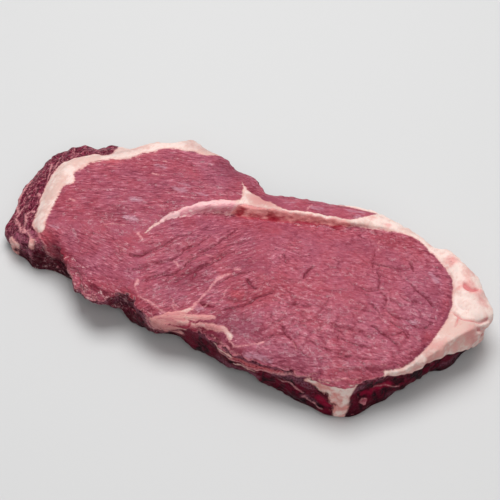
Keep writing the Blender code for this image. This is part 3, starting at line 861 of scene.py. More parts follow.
# %% Relief of the cut face
RIBS = ((0.24, 2.0, 12, 1), (0.16, 1.3, 6, 2))  # height, width, length and seed
NET_DEPTH, FINE_NET_DEPTH, CRACK_DEPTH = 0.36, 0.14, 0.70
DOME_RISE, FAT_LUMP, FAT_RISE, FAT_SINK = 0.35, 0.16, 0.45, 0.12
THREAD_RISE, KNOB_RISE = 0.16, 1.1


def fibre_relief(places, t):
    """Fine ribs along each zone's own direction."""
    total = np.zeros(len(places))
    for zone, degrees in FIBRE_TURNS.items():
        ribs = sum(height * fibres(places, degrees, *rest) for height, *rest in RIBS)
        total += t[zone] * ribs
    ribs = 0.16 * fibres(places, -8, 2.2, 8, 3) + 0.12 * lumps(places, 1.6, 4)
    return total + t["eye_right"] * ribs


def net_relief(t):
    """Shallow cracks between the bundles of the right half, fading out here and there."""
    strength = (0.3 + 0.7 * t["eye_right"]) * ease(t["broken"], -0.35, 0.35)
    coarse = NET_DEPTH * strength * ease(t["net"], 0.7, 0.0)
    return -coarse - FINE_NET_DEPTH * (0.5 + 0.5 * t["eye_right"]) * ease(t["fine_net"], 0.45, 0.0)


def cut_relief(places, t):
    """Everything on the cut face: ribs, cracks, soft fat, threads and the knob."""
    lean = ease(t["fat"], 0.3, -0.3)
    relief = lean * (fibre_relief(places, t) + net_relief(t) + DOME_RISE * lumps(places, 9, 6))
    relief += FAT_LUMP * (1 - lean) * lumps(places, 5, 7)
    relief += FAT_RISE * ease(t["fat"], -0.2, 1.4) - FAT_SINK
    relief += THREAD_RISE * ease(t["thread"], -0.3, 0.5)
    relief -= CRACK_DEPTH * ease(t["crack"], -0.7, 0.4)
    relief += KNOB_RISE * washes(places, KNOBS)
    return relief


# %% Relief of the seam and the tail
CREST_RISE, GROOVE_DEPTH, FOLD_DEPTH, RIDGE_RISE = 0.45, 0.55, 1.0, 0.8
SHAVE_SHARE, SHAVE_LIMIT = 0.8, 2.2  # how much of what stands over a plane goes, and at most how far


def seam_relief(t):
    """A crisp crest, and a groove at the foot of the seam's front."""
    crest = CREST_RISE * np.exp(-((t["crest"] - 0.3) / 1.1) ** 2)
    groove = -GROOVE_DEPTH * np.exp(-((t["crest"] + 3.5) / 0.9) ** 2)
    return t["seam_ends"] * (crest + groove)


def tail_relief(places, t):
    """Creases and ridges of the tail's fat."""
    folds = -FOLD_DEPTH * ease(t["fold"], -0.7, 0.5)
    ridges = RIDGE_RISE * ease(strokes_depth(TAIL_RIDGES, places[:, :2], 4.0), -2.6, 1.4)
    return (folds + ridges * ease(places[:, 2], 10, 16)) * ease(places[:, 0], 84, 92)


def shave(places):
    """Trims the tail flat along a few planes, as a knife does, which leaves crisp edges."""
    share = ease(places[:, 0], 84, 91)
    for place, normal in SHAVES:
        across = np.array(normal) / np.linalg.norm(normal)
        over = np.maximum((places - place) @ across, 0)
        places = places - (SHAVE_SHARE * share * np.minimum(over, SHAVE_LIMIT))[:, None] * across
    return places


# %% Relief of the side
TORN_EDGE = [
    (-104, -2.5, 1), (-96, -5, 2), (-89, -9.5, 2.5), (-80, -16, 2.5), (-72, -22, 2.5), (-62, -26, 2),
    (-50, -27, 1),
]
LUMP_RISE, UPRIGHT_RISE, GRAIN_RISE = 0.9, 0.55, 0.30
FLAP_RISE, STRING_RISE = 0.45, 0.35
SHREDS = ((1.2, 4.2, 11), (0.8, 2.3, 12))  # height, size and seed
SHREDS_RISE = 0.3
PIT_DEPTH = 2.0


def side_relief(places, t):
    """Lumps, upright fibres and flaps."""
    upright = lumps(places * (1, 1, 0.35), 3.4, 9)
    relief = LUMP_RISE * lumps(places, 6.5, 8) + UPRIGHT_RISE * upright + GRAIN_RISE * lumps(places, 2.2, 10)
    relief += FLAP_RISE * ease(t["fat"], -0.6, 1.4)
    relief += STRING_RISE * ease(t["thread"], -0.3, 0.4)
    return relief


def torn_relief(places):
    """The near-left edge is torn, not cut: lumps and hanging shreds."""
    depth = stroke_depth(TORN_EDGE, places[:, :2], 5.0)
    shreds = sum(height * lumps(places, *rest) for height, *rest in SHREDS) + SHREDS_RISE
    return shreds * ease(depth, -4.5, 0.5) * ease(places[:, 2], 2, 6)


# %% Push the skin
def sculpt(piece):
    """Pushes every point along its normal by the relief of its tissue."""
    places, normals = read_skin(piece)
    t = read_tissue(places, normals)
    relief = t["cut"] * (cut_relief(places, t) + seam_relief(t)) + tail_relief(places, t)
    relief += (1 - t["cut"]) * side_relief(places, t) + torn_relief(places)
    relief -= PIT_DEPTH * ease(t["pit"], -1.6, 1.5) * ease(places[:, 2], 3, 8)
    relief *= t["foot"]
    moved = shave(places) + normals * relief[:, None]
    moved[:, 2] = np.maximum(moved[:, 2], 0.0)
    write_skin(piece, moved)
    print("relief from", relief.min().round(2), "to", relief.max().round(2), "mm")


sculpt(steak)

# %% [markdown]
# ## Thin out
# The flat underside holds as many points as the face. A collapse decimate takes points away where the surface
# is flattest first, so the foot gives up nearly all of its points and the relief keeps its own.

# %% Keep the mesh under its budget
TRIANGLES = 192000


def triangle_count(piece):
    return sum(len(face.vertices) - 2 for face in piece.data.polygons)


apply_modifier(steak, "DECIMATE", ratio=TRIANGLES / triangle_count(steak))
print("triangles:", triangle_count(steak))

# %% [markdown]
# ## Paint the attributes
# The material needs to know what each point is made of. An image could hold that, but it would have to be
# unwrapped and would blur. So the same rules are read once more on the finished skin, and their depths are
# kept on the mesh under plain names. Soft spots, each (x, y, half length, half width, tilt, amount), say
# where the colour of lean and fat drifts.

# %% Washes of colour
LEAN_WASHES = [  # positive is redder and deeper, negative is paler and more purple
    (-12, 36.4, 10, 4, 4, 0.9), (5, -11, 24, 13, 12, 0.55), (22, -2, 22, 14, 20, 0.35),
    (62, 36, 24, 9, -10, 0.7), (20, 33, 60, 9, 2, 0.4), (-60, -12, 22, 11, -14, -0.35),
    (-25, 22, 20, 10, 24, -0.35), (70, -28, 26, 13, 20, -0.3), (20, -40, 44, 10, -6, -0.45),
    (78, 18, 15, 16, 0, -0.35), (-16, 48, 16, 10, 0, 0.3), (-30, 56, 22, 12, -34, -0.5),
    (-90, 20, 16, 22, 0, 0.25), (-58, -22, 30, 9, -22, 0.3), (88, -16, 8, 12, -20, 0.4),
    (81, -28, 8, 7, 50, 0.5), (52, -44, 18, 5, 4, 0.7), (78, -2, 14, 22, 8, -0.8),
    (-96, -2, 14, 8, -20, 0.2),
]
FAT_BLUSHES = [  # warm pink on the fat
    (-104, 9, 10, 8, 0, 0.5), (-94, 41, 7, 12, -30, 0.8), (-73, 66, 9, 5, 10, 0.35),
    (-38, 34, 16, 7, 36, 0.5), (-22, 38.5, 12, 5, 10, 0.9), (-33, -32, 9, 5, 6, 0.8),
    (88, 29, 6, 6, 0, 0.9), (97, 16, 9, 7, 0, 0.9), (104, 12, 6, 9, 0, 0.7), (103, -8, 12, 6, 30, 0.6),
    (88, -21, 16, 6, 48, 0.6), (97, 24, 8, 8, 0, 0.35), (56, 44, 4, 3, 0, 0.9), (48, 45.6, 4, 3, 0, 0.8),
    (47, -47, 9, 5, 0, 0.5), (78, 39, 10, 6, -30, 0.3), (-48, 22, 8, 5, 40, 0.8),
    (-38, 32, 12, 6, 42, 0.9), (-105, -1, 6, 6, 0, 0.8), (-116, 3, 9, 7, 0, 0.8), (109, 3, 6, 10, 0, 0.3),
    (-5, 44, 13, 7, -10, 0.75), (-27, -30, 11, 4.5, 6, 0.9), (-14, -28.6, 9, 3.6, 4, 0.9),
    (-32, -34, 11, 5, 5, 1.6), (-8, -32.6, 12, 5, -12, 1.0),
]
# shade spots: partly a duller tone of the fat's own, partly painted shade where the lamps light the fat most
FAT_SHADES = [  # a cooler, duller fat
    (-104, 28, 9, 28, 0, 0.8), (-98, 52, 16, 9, 35, 0.8), (-78, 68, 20, 12, 30, 0.7),
    (-60, 82, 30, 9, 5, 0.7), (-4, 44, 14, 7, -10, 1.2), (40, 43, 34, 5, 0, 0.5),
    (-22, -30, 24, 8, 0, 1.6), (-92, 52, 12, 8, 30, 0.8), (97, -9, 12, 10, 40, 1.8),
    (88, -21, 12, 6, 48, 1.0), (66, 45, 14, 6, -20, 0.5), (-66, 76, 20, 8, 5, 1.0),
    (-38, 72, 12, 9, -45, 1.6), (-46, 22, 7, 6, 45, 0.8),
]
# Where the seam's fat is thin and lilac.
LILACS = [(-44, 25, 12, 6, 48, 1.0), (-33, 33.5, 14, 7, 32, 1.2), (-22, 38, 9, 5, 10, 1.0)]
TORN = [  # where the edge is torn
    (-80, -16, 26, 11, -32, 1.4), (-58, -26, 16, 9, -6, 1.4), (-36, -32, 14, 6, 0, 0.8),
    (-100, -6, 14, 9, -20, 1.4),
]
# dusks: partly a deeper tone of the lean's own, partly painted shade over the torn edge, the fan and the faces
# of fat and lean that the key lamp lights most
DUSKS_AND_SHADES = [  # where the lean is darker
    (3, -30, 20, 10, -15, 1.6), (-26, -10, 17, 11, 20, 0.9), (-8, -34, 12, 6, -20, 0.6),
    (32, -40, 22, 8, -5, 0.8), (-62, 44, 26, 16, 10, 0.2), (-58, -20, 18, 9, -20, 0.4),
    (-68, 20, 7, 10, 0, 0.7), (-80, -8, 15, 9, -30, 0.4), (52, -44, 18, 5, 4, 0.35),
    (86, -20, 8, 10, -20, 0.3), (-30, -22, 12, 6, 0, 0.35), (-98, 12, 6, 14, 0, 0.3),
    (-1, 4, 15, 12, 0, 0.6), (-75, 18, 30, 26, 0, 0.15), (45, 28, 18, 9, -10, 0.5),
    (-68, -26, 13, 6, -25, 1.4), (-26, 62, 13, 10, -40, 1.5), (-14, 54, 14, 5, -40, 0.6),
    (-44, 74, 16, 8, -10, 1.5), (104, -6, 9, 9, 0, 0.5), (-46, 24, 7, 5, 45, 1.4),
    (-9, -32, 11, 6, -10, 1.0), (-31, -34, 12, 5, 0, 1.6), (20, -44, 24, 6, -5, 0.4),
    (-5, 45, 15, 9, -10, 1.0), (-82, 60, 16, 9, 20, 0.9), (-3, 39, 9, 5, 0, 0.3),
    (83, 4, 11, 26, 4, 0.42), (80, -22, 12, 10, -50, 0.3),
]
CALMS = [  # where the lean is smooth
    (30, 26, 46, 14, -4, 1.0), (62, 24, 22, 14, -30, 0.7), (40, 2, 34, 20, 0, 0.5), (20, 44, 60, 8, 0, 0.5),
    (56, -8, 54, 44, 0, 0.6),
]
FANS = [(-20, -31, 24, 9, 2, 1.6)]  # the fan of thin fat at the near rim
VERGES = [  # where the lean has a dark border beside the tail
    (90, 6, 14, 30, 0, 1.4), (82, -24, 14, 14, -30, 1.2), (74, 32, 12, 8, -30, 0.8),
]
FRAYS = [  # where the border of the fat is frayed
    (-100, 26, 9, 24, 0, 1.0), (-88, 49, 16, 9, 30, 1.2), (-68, 62, 14, 8, 20, 0.6),
    (-36, 32, 16, 8, 40, 1.6), (-24, 38, 10, 6, 20, 1.2), (54, 53, 14, 5, 10, 0.8),
    (-31, -35, 13, 4, 0, 1.6), (78, -36, 6, 4, 30, 0.6),
]
FRINGES = [  # where the lean beside the fat is streaked with it
    (-83, 50, 13, 8, 20, 1.0), (-66, 61, 14, 7, 30, 0.5), (-98, 2, 9, 8, 0, 0.9),
    (-20, -26, 16, 8, 10, 0.3),
]
SEAM_DROP = [(-18, 4.4), (-8, 4.2), (0, 3.2), (10, 2.9), (24, 2.0), (45, 1.6)]  # (x, width of the front)
RED_STAINS = [  # blood in the seam and along the torn edge
    (-14, 37.5, 4, 3, 0, 1.0), (2, 38.2, 6, 3, 0, 1.0), (13, 37.6, 4, 2.5, 0, 0.7),
    (33, 39.4, 5, 2.4, 0, 1.3), (-98, -1, 9, 6, -20, 0.7), (-88, -7, 9, 5, -30, 0.8),
    (-50, -25, 9, 5, -10, 0.9), (-20, -34, 22, 4, 0, 0.7), (-104, 3, 5, 5, 0, 0.6),
]

# %% Keep the numbers on the mesh
SPOTS = {
    "wash": LEAN_WASHES, "blush": FAT_BLUSHES, "stain": RED_STAINS, "shade": FAT_SHADES, "fringe": FRINGES,
    "lilac": LILACS, "fray": FRAYS, "fan": FANS, "knob": KNOBS,
}
# Where these overlap, 1 is the most.
CAPPED_SPOTS = {"torn": TORN, "dusk": DUSKS_AND_SHADES, "verge": VERGES, "calm": CALMS}
DEPTHS = ("fat", "thread", "crack", "pit", "bruise", "silver", "grey", "red", "salmon", "fold")
PLACES = ("cut", "skirt", "near", "lip", "low", "cap", "lower_left", "eye_left")
CORNER_WASH = (48, 10, 14, 24)  # x and height of the near corner's fat, half length and half height
NET_LIMIT = 3  # a distance from the cracks, past which all lean is alike


def paint_seam_front(piece, plan, t):
    """The red front of the seam, and how far down it each point lies."""
    width = np.interp(plan[:, 0], *np.array(SEAM_DROP).T)
    span = ease(plan[:, 0], -24, -12) * ease(plan[:, 0], 50, 34) * (t["seam_ends"] > 0)
    front = np.minimum(0.1 - t["crest"], t["crest"] + width) - 4 * (1 - span)
    write_attribute(piece, "front", np.clip(front, -3, 3))
    write_attribute(piece, "drop", np.clip(-t["crest"] / width, -1, 2))


def paint(piece):
    """Keeps on the mesh what the material needs to know of each point."""
    places, normals = read_skin(piece)
    t = read_tissue(places, normals)
    plan = places[:, :2]
    for name in DEPTHS + PLACES:
        write_attribute(piece, name, t[name])
    for name, spots in SPOTS.items():
        write_attribute(piece, name, washes(plan, spots))
    capped = {name: np.minimum(washes(plan, spots), 1) for name, spots in CAPPED_SPOTS.items()}
    for name, amounts in capped.items():
        write_attribute(piece, name, amounts)
    paint_seam_front(piece, plan, t)
    broken = ease(t["broken"], -0.30, 0.45) * t["eye_right"] * (1 - 0.2 * capped["calm"])
    write_attribute(piece, "broken", broken)
    write_attribute(piece, "net", np.clip(t["net"], 0, NET_LIMIT))
    write_attribute(piece, "corner", wash(places[:, (0, 2)], *CORNER_WASH))
    print("painted points:", len(places), "- numbers kept on each:", len(piece.data.attributes))


paint(steak)

# %% [markdown]
# ## Shader arithmetic
# Mixing many masks with separate Math nodes is slow to read. One small class wraps a socket and understands
# plus, minus and times, so that a mask reads like the sum it is. A workbench makes every other node: its
# type, its settings first, then its sockets. Colour goes on in coats, as glazes do, each through a mask.

# %% A value that can be reckoned with
class Value:
    """An output socket of a material, with the arithmetic of Math nodes."""

    def __init__(self, bench, socket):
        self.bench = bench
        self.socket = socket

    def __add__(self, other):
        return self.bench.sum_up("ADD", self, other)

    def __sub__(self, other):
        return self.bench.sum_up("SUBTRACT", self, other)

    def __rsub__(self, other):
        return self.bench.sum_up("SUBTRACT", other, self)

    def __mul__(self, other):
        return self.bench.sum_up("MULTIPLY", self, other)

    __radd__ = __add__
    __rmul__ = __mul__


# %% A workbench for one material
class Bench:
    """One material's nodes."""

    def __init__(self, name):
        self.material = bpy.data.materials.new(name)
        self.material.use_nodes = True
        self.tree = self.material.node_tree
        self.shader = self.tree.nodes["Principled BSDF"]

    def node(self, kind, settings=None, sockets=None, output=0):
        """Adds a node: its settings first, then the values or links of its sockets."""
        made = self.tree.nodes.new(kind)
        for name, value in (settings or {}).items():
            setattr(made, name, value)
        for name, value in (sockets or {}).items():
            if isinstance(value, Value):
                self.tree.links.new(value.socket, made.inputs[name])
            else:
                made.inputs[name].default_value = value
        return Value(self, made.outputs[output])

    def sum_up(self, operation, a, b):
        return self.node("ShaderNodeMath", {"operation": operation}, {0: a, 1: b})

    def most(self, a, b):
        return self.sum_up("MAXIMUM", a, b)

    def ramp(self, value, low, high, start=0.0, end=1.0):
        """start up to low and end from high, with a smooth rise between."""
        sockets = {"Value": value, "From Min": low, "From Max": high, "To Min": start, "To Max": end}
        return self.node("ShaderNodeMapRange", {"interpolation_type": "SMOOTHSTEP"}, sockets)

    def kept(self, name):
        """A number kept on the mesh."""
        return self.node("ShaderNodeAttribute", {"attribute_name": name}, output="Fac")

    def mix(self, share, a, b):
        """Colour a, with a share of colour b."""
        return self.node("ShaderNodeMix", {"data_type": "RGBA"}, {0: share, 6: a, 7: b}, output=2)

    def coats(self, colour, *coats):
        """A colour under several coats, each (mask, share, tint)."""
        for mask, share, tint in coats:
            colour = self.mix(mask * share, colour, tint)
        return colour

    def placed(self, size, degrees=0, stretch=1, tall=1):
        """Places counted in grains of a size in millimetres, turned and drawn out along x or upwards."""
        places = self.node("ShaderNodeTexCoord", output="Object")
        settings = {"vector_type": "POINT"}
        turn = (0, 0, math.radians(-degrees))
        turned_places = self.node("ShaderNodeMapping", settings, {"Vector": places, "Rotation": turn})
        across = 1 / (size * MM)
        scale = (across / stretch, across, across / tall)
        return self.node("ShaderNodeMapping", settings, {"Vector": turned_places, "Scale": scale})

    def grain(self, size, detail=2.0, rough=0.5, degrees=0, stretch=1, bend=0.0, tall=1):
        """Noise with grains of a size in millimetres."""
        places = self.placed(size, degrees, stretch, tall)
        sockets = {"Vector": places, "Scale": 1.0, "Detail": detail, "Roughness": rough, "Distortion": bend}
        return self.node("ShaderNodeTexNoise", {}, sockets, output="Fac")

    def cells(self, size, degrees=0, stretch=1, stir=0.5):
        """How far inside ragged cells a place lies, in cell sizes: 0 on the cracks between them."""
        places = self.placed(size, degrees, stretch)
        sockets = {"Vector": places, "Scale": 1.1, "Detail": 3.0}
        noise = self.node("ShaderNodeTexNoise", {}, sockets, output="Color")
        sockets = {0: noise, 1: (stir * 2, stir * 2, stir * 2), 2: places}
        stirred = self.node("ShaderNodeVectorMath", {"operation": "MULTIPLY_ADD"}, sockets)
        sockets = {"Vector": stirred, "Scale": 1.0}
        return self.node("ShaderNodeTexVoronoi", {"feature": "DISTANCE_TO_EDGE"}, sockets)

    def feed(self, **links):
        """Links values to the surface shader's sockets."""
        for name, value in links.items():
            self.tree.links.new(value.socket, self.shader.inputs[name.replace("_", " ")])

    def set(self, **numbers):
        """Sets numbers that are the same all over on the surface shader."""
        for name, value in numbers.items():
            self.shader.inputs[name.replace("_", " ")].default_value = value


def srgb(red, green, blue):
    """A colour given as 0 to 255 on a screen, as the light that the shader works with (the sRGB curve)."""
    shares = [c / 255 for c in (red, green, blue)]
    return (*[s / 12.92 if s <= 0.04045 else ((s + 0.055) / 1.055) ** 2.4 for s in shares], 1.0)


# %% [markdown]
# ## Raw beef
# Lean is translucent red flesh under a film of moisture. Up close it is a mottle of deep red, rose and pale
# lilac streaks that follow the fibres, so its colour is built from noise drawn out along each zone's fibres.
# Fat is warm cream that blushes pink where it thins. One material holds both, because they grade into each
# other: the border is a depth kept on the mesh, roughened by noise.

# %% Colours
LEAN = srgb(164, 74, 91)
LEAN_DEEP = srgb(106, 30, 50)
LEAN_PALE = srgb(208, 130, 146)
LEAN_LILAC = srgb(162, 88, 109)
LEAN_WARM = srgb(170, 72, 84)
SIDE_LEAN = srgb(96, 0, 32)
# the side's darkest flesh, also laid over the foot and the hollows as painted shade
SIDE_DARK_AND_SHADE = srgb(30, 0, 10)
SIDE_MOTTLE = srgb(134, 78, 96)
# pale pink of the rim's edge, partly pale torn tissue and partly a painted highlight
SIDE_RIM_PALE_AND_HIGHLIGHT = srgb(206, 130, 136)
SKIRT_LEAN = srgb(130, 45, 68)
SKIRT_DARK = srgb(76, 10, 32)
FAT = srgb(235, 211, 203)
FAT_PINK = srgb(222, 150, 146)
# a duller fat, for the fat's own cloudy tone and for painted shade
FAT_SHADE = srgb(216, 178, 168)
FRINGE = srgb(200, 100, 106)
THREAD = srgb(218, 148, 152)
# the pale tint of the silvery skin, partly its own and partly a painted sheen
SKIN_AND_SHEEN_TINT = srgb(184, 132, 148)
SEAM_LILAC = srgb(210, 130, 146)
SEAM_PALE = srgb(238, 190, 192)
SIDE_RED = srgb(150, 2, 50)
SEAM_CREAM = srgb(244, 166, 162)
SEAM_RED = srgb(174, 54, 72)
BLOOD = srgb(156, 22, 42)
SALMON = srgb(206, 102, 108)
SIDE_LIP = srgb(158, 88, 108)
# a darker lean: its own darker tone, painted shade from the dusk spots, and the border beside the tail
LEAN_DUSK = srgb(112, 40, 62)
# near-black red of the pits, partly moist flesh and partly painted shade
PIT_AND_SHADE_RED = srgb(64, 0, 18)
# dark red of the cracks, partly painted shade, and of the lines of painted shade
CRACK_AND_SHADE_RED = srgb(104, 22, 42)
# pink of the tail's creases, partly the fat's own tint and partly painted shade
FOLD_AND_SHADE_PINK = srgb(196, 94, 100)
CORNER_PINK = srgb(214, 134, 128)
KNOB_PINK = srgb(196, 88, 98)
FAN_PINK = srgb(206, 128, 132)
print("lean as the shader sees it:", [round(c, 3) for c in LEAN])


# %% Lean
def streaks(bench, size, stretch, detail=2.0):
    """Noise along the fibres of each zone, joined where the zones blend; the rest runs nearly straight."""
    total = bench.grain(size * 1.1, detail, 0.5, 4, max(1.8, stretch / 1.6), 0.5)
    for zone, degrees in FIBRE_TURNS.items():
        mask = bench.kept(zone)
        own = bench.grain(size, detail, 0.55, degrees, stretch, 0.3)
        total = total * (1 - mask) + own * mask
    return total


def bundles(bench, size, stretch):
    """The bundles of fibres at the left: 0 on the cracks between them, along each zone's own direction."""
    total = 0.5
    for zone, degrees in FIBRE_TURNS.items():
        mask = bench.kept(zone)
        total = (1 - mask) * total + bench.cells(size, degrees, stretch, 0.35) * mask
    return total


def lean_colour(bench, fine, bundle, net):
    """Warm and lilac clouds under pale and deep streaks, specks, stains and cracks."""
    coarse = streaks(bench, 2.6, 3.6)
    speck = bench.grain(0.5, 2.0, 0.7)
    cloud = bench.grain(12.0, 3.0, 0.55)
    patchy = bench.grain(7.0, 2.0, 0.5)
    warmth = bench.kept("wash")
    lively = 1 - bench.kept("calm") * 0.55
    stain = bench.kept("stain") + (speck - 0.5)
    verge = bench.ramp(bench.kept("fat"), -2.6, -0.4) * bench.kept("verge")
    broken = bench.kept("broken")
    plates = bench.kept("net") + (speck - 0.5) * 0.8
    edge = bench.ramp(plates, 0.4, 0.8) * bench.ramp(plates, 1.5, 0.9)
    gaps = bench.ramp(bench.grain(7.0, 3.0, 0.6, -10, 1.5), 0.54, 0.42)
    colour = bench.mix(bench.ramp(cloud + warmth * 0.50, 0.20, 0.84), LEAN_LILAC, LEAN_WARM)
    colour = bench.mix(0.35, colour, LEAN)
    return bench.coats(
        colour,
        (bench.ramp(coarse, 0.52, 0.70), 0.18, LEAN_PALE),
        (bench.ramp(coarse, 0.48, 0.30), 0.28, LEAN_DEEP),
        (bench.ramp(fine, 0.53, 0.68) * lively, 0.72, LEAN_PALE),
        (bench.ramp(fine, 0.47, 0.32) * lively, 0.68, LEAN_DEEP),
        (bench.ramp(speck, 0.58, 0.76), 0.34, LEAN_PALE),
        (bench.ramp(speck, 0.42, 0.26), 0.28, LEAN_DEEP),
        (bench.ramp(warmth, 0.1, 1.0), 0.30, LEAN_DEEP),
        # darker tone and painted shade from the dusk spots
        (bench.kept("dusk"), 0.5, LEAN_DUSK),
        (bench.ramp(stain, 0.1, 1.0), 0.6, BLOOD),
        (bench.kept("knob"), 0.6, KNOB_PINK),
        (verge, 0.64, LEAN_DUSK),
        # the coats below darken the cracks of the nets and bundles: partly deeper flesh, partly painted shade
        # in them
        (bench.ramp(plates, 0.5, 0.1) * broken, 0.40, LEAN_DEEP),
        (edge * broken, 0.18, LEAN_PALE),
        (bench.ramp(bundle, 0.12, 0.0) * bench.ramp(patchy, 0.36, 0.62), 0.50, LEAN_DEEP),
        (bench.ramp(net, 0.045, 0.0) * gaps, 0.48, LEAN_DEEP),
    )


# %% [markdown]
# ## Side, skirt and fat
# The side is wet and turned away from the light, so its lean is a deep red without streaks, and grey skin
# lies on it in patches. The skirt at the left is the outside of the muscle, under a web of thin skin. A web
# could be drawn by hand, but the borders of ragged cells already look like one. Fat starts as cream and goes
# pink where it thins over lean.

# %% Side and skirt
def side_colour(bench):
    """Dark muscle with grey and red patches, and the skirt's web, with painted shade at the foot and in the
    hollows and the rim's lip over both.
    """
    upright = bench.grain(4.6, 3.0, 0.55, 0, 1.0, 1.2, 1.5)
    fine = bench.grain(0.8, 2.0, 0.6)
    membrane = bench.grain(2.4, 3.0, 0.65, 0, 1.0, 1.6)
    grey = bench.ramp(bench.kept("grey"), -0.8, 1.2) * bench.ramp(fine, 0.34, 0.60)
    red = bench.ramp(bench.kept("red") + (fine - 0.5) * 2.0, -0.8, 1.0)
    web = bench.ramp(bench.cells(4.2, 70, 1.8, 0.6), 0.07, 0.0) * bench.ramp(membrane, 0.38, 0.56)
    salmon = bench.ramp(bench.kept("salmon") + (membrane - 0.5) * 3.0, -0.8, 0.8)
    muscle = bench.coats(
        bench.mix(bench.ramp(upright, 0.36, 0.62), SIDE_DARK_AND_SHADE, SIDE_LEAN),
        (bench.ramp(membrane, 0.58, 0.72), 0.42, SIDE_MOTTLE),
        (bench.ramp(fine, 0.60, 0.78), 0.18, SIDE_MOTTLE),
        (grey, 0.8, SIDE_MOTTLE),
        (red, 0.75, SIDE_RED),
    )
    skirt = bench.coats(
        bench.mix(bench.ramp(membrane, 0.42, 0.62), SKIRT_DARK, SKIRT_LEAN),
        (bench.ramp(fine, 0.54, 0.74), 0.5, LEAN_PALE),
        (web, 0.55, THREAD),
    )
    return bench.coats(
        bench.mix(bench.most(bench.kept("skirt"), bench.kept("torn") * 0.9), muscle, skirt),
        # painted shade at the foot of the near side and in the hollows
        (bench.kept("low"), 0.65, SIDE_DARK_AND_SHADE),
        (bench.kept("lip") * bench.ramp(membrane, 0.38, 0.58), 0.65, SIDE_LIP),
        (salmon, 0.85, bench.mix(bench.ramp(fine, 0.34, 0.50), SIDE_RED, SALMON)),
    )


# %% Fat
def fat_colour(bench, fine):
    """Cream, shaded and blushed, with lilac skin along the seam and pink strands in the fan."""
    cloud = bench.grain(5.0, 3.0, 0.6)
    streaky = bench.grain(1.5, 3.0, 0.65, 72, 2.6, 0.6, 2.4)
    strands = bench.grain(1.3, 3.0, 0.6, 4, 5.0, 0.4)
    shade = bench.kept("shade")
    blush = bench.kept("blush")
    side = bench.ramp(bench.kept("near"), 0.3, 0.9)
    corner = side * bench.ramp(bench.kept("corner"), 0.1, 0.5)
    lilac = bench.ramp(bench.kept("lilac"), 0.0, 0.6)
    high = bench.ramp(bench.kept("drop") + (cloud - 0.5) * 0.8, 0.3, -0.4)
    fan = bench.ramp(bench.kept("fan"), 0.0, 0.6)
    return bench.coats(
        FAT,
        # the fat's own cloudy tone, deepened by painted shade from the shade spots, here and in the pink
        # streaks
        (bench.ramp(cloud + shade * 0.22, 0.44, 0.72), 0.85, FAT_SHADE),
        (bench.ramp(streaky, 0.50, 0.70), 0.45, FAT_SHADE),
        (bench.ramp(streaky, 0.58, 0.78), shade * 0.3 + 0.25, FAT_PINK),
        (bench.ramp(blush + (cloud - 0.5) * 1.2, 0.1, 1.0), 0.8, FAT_PINK),
        (bench.ramp(fine, 0.56, 0.76) * bench.ramp(blush, 0.2, 1.0), 0.5, LEAN),
        (bench.ramp(bench.kept("fat"), 1.2, 0.0), 0.45, FAT_PINK),
        (side * bench.ramp(cloud, 0.36, 0.60), 0.5, FAT_PINK),
        (corner * bench.ramp(cloud, 0.40, 0.60), 0.7, CORNER_PINK),
        (corner * bench.ramp(streaky, 0.60, 0.76), 0.35, SIDE_RED),
        (lilac, 0.9, bench.mix(high, SEAM_LILAC, SEAM_PALE)),
        (fan * bench.ramp(strands, 0.40, 0.60), 0.80, FAN_PINK),
        (fan * bench.ramp(strands, 0.42, 0.30), 0.5, LEAN),
        (fan * bench.ramp(fine, 0.54, 0.70), 0.35, LEAN),
        (lilac * bench.ramp(fine, 0.54, 0.68), 0.7, FAT),
        (lilac * bench.ramp(fine, 0.48, 0.34), 0.6, LEAN),
        # painted shade on the fat from the dusk spots
        (bench.kept("dusk"), 0.22, LEAN_DUSK),
        # creases of the tail: pink, partly the fat's own tint and partly painted shade
        (bench.ramp(bench.kept("fold"), -0.45, 0.5), 0.7, FOLD_AND_SHADE_PINK),
    )


def fat_mask(bench, fine, ragged):
    """How far a place is fat; the border is frayed along the fibres, and soft at the near corner."""
    corner = bench.kept("near") * bench.kept("corner")
    frayed = (fine - 0.5) * (bench.kept("fray") * 3.0 + 1.2)
    strands = bench.grain(1.8, 3.0, 0.7, 72, 2.0, 0.6, 2.4) - 0.5
    frayed = frayed + ragged * 0.5 + strands * corner * 8.0
    soft = corner * 0.9 + 0.45
    return bench.ramp(bench.kept("fat") + frayed, 0 - soft, soft)


# %% [markdown]
# ## Marks and finish
# Lines of painted shade, cracks that are partly painted shade, silvery skin with a painted sheen, and threads
# lie over lean and side alike, so they are coats over both. The steep front of the seam is raw and red, and
# stained with blood. Wet meat shines only here and there: a clear coat with a patchy weight gives small lights
# on a satin ground, where an evenly low roughness would look like plastic. The finest fibres are too small for
# the mesh and are left to a bump.

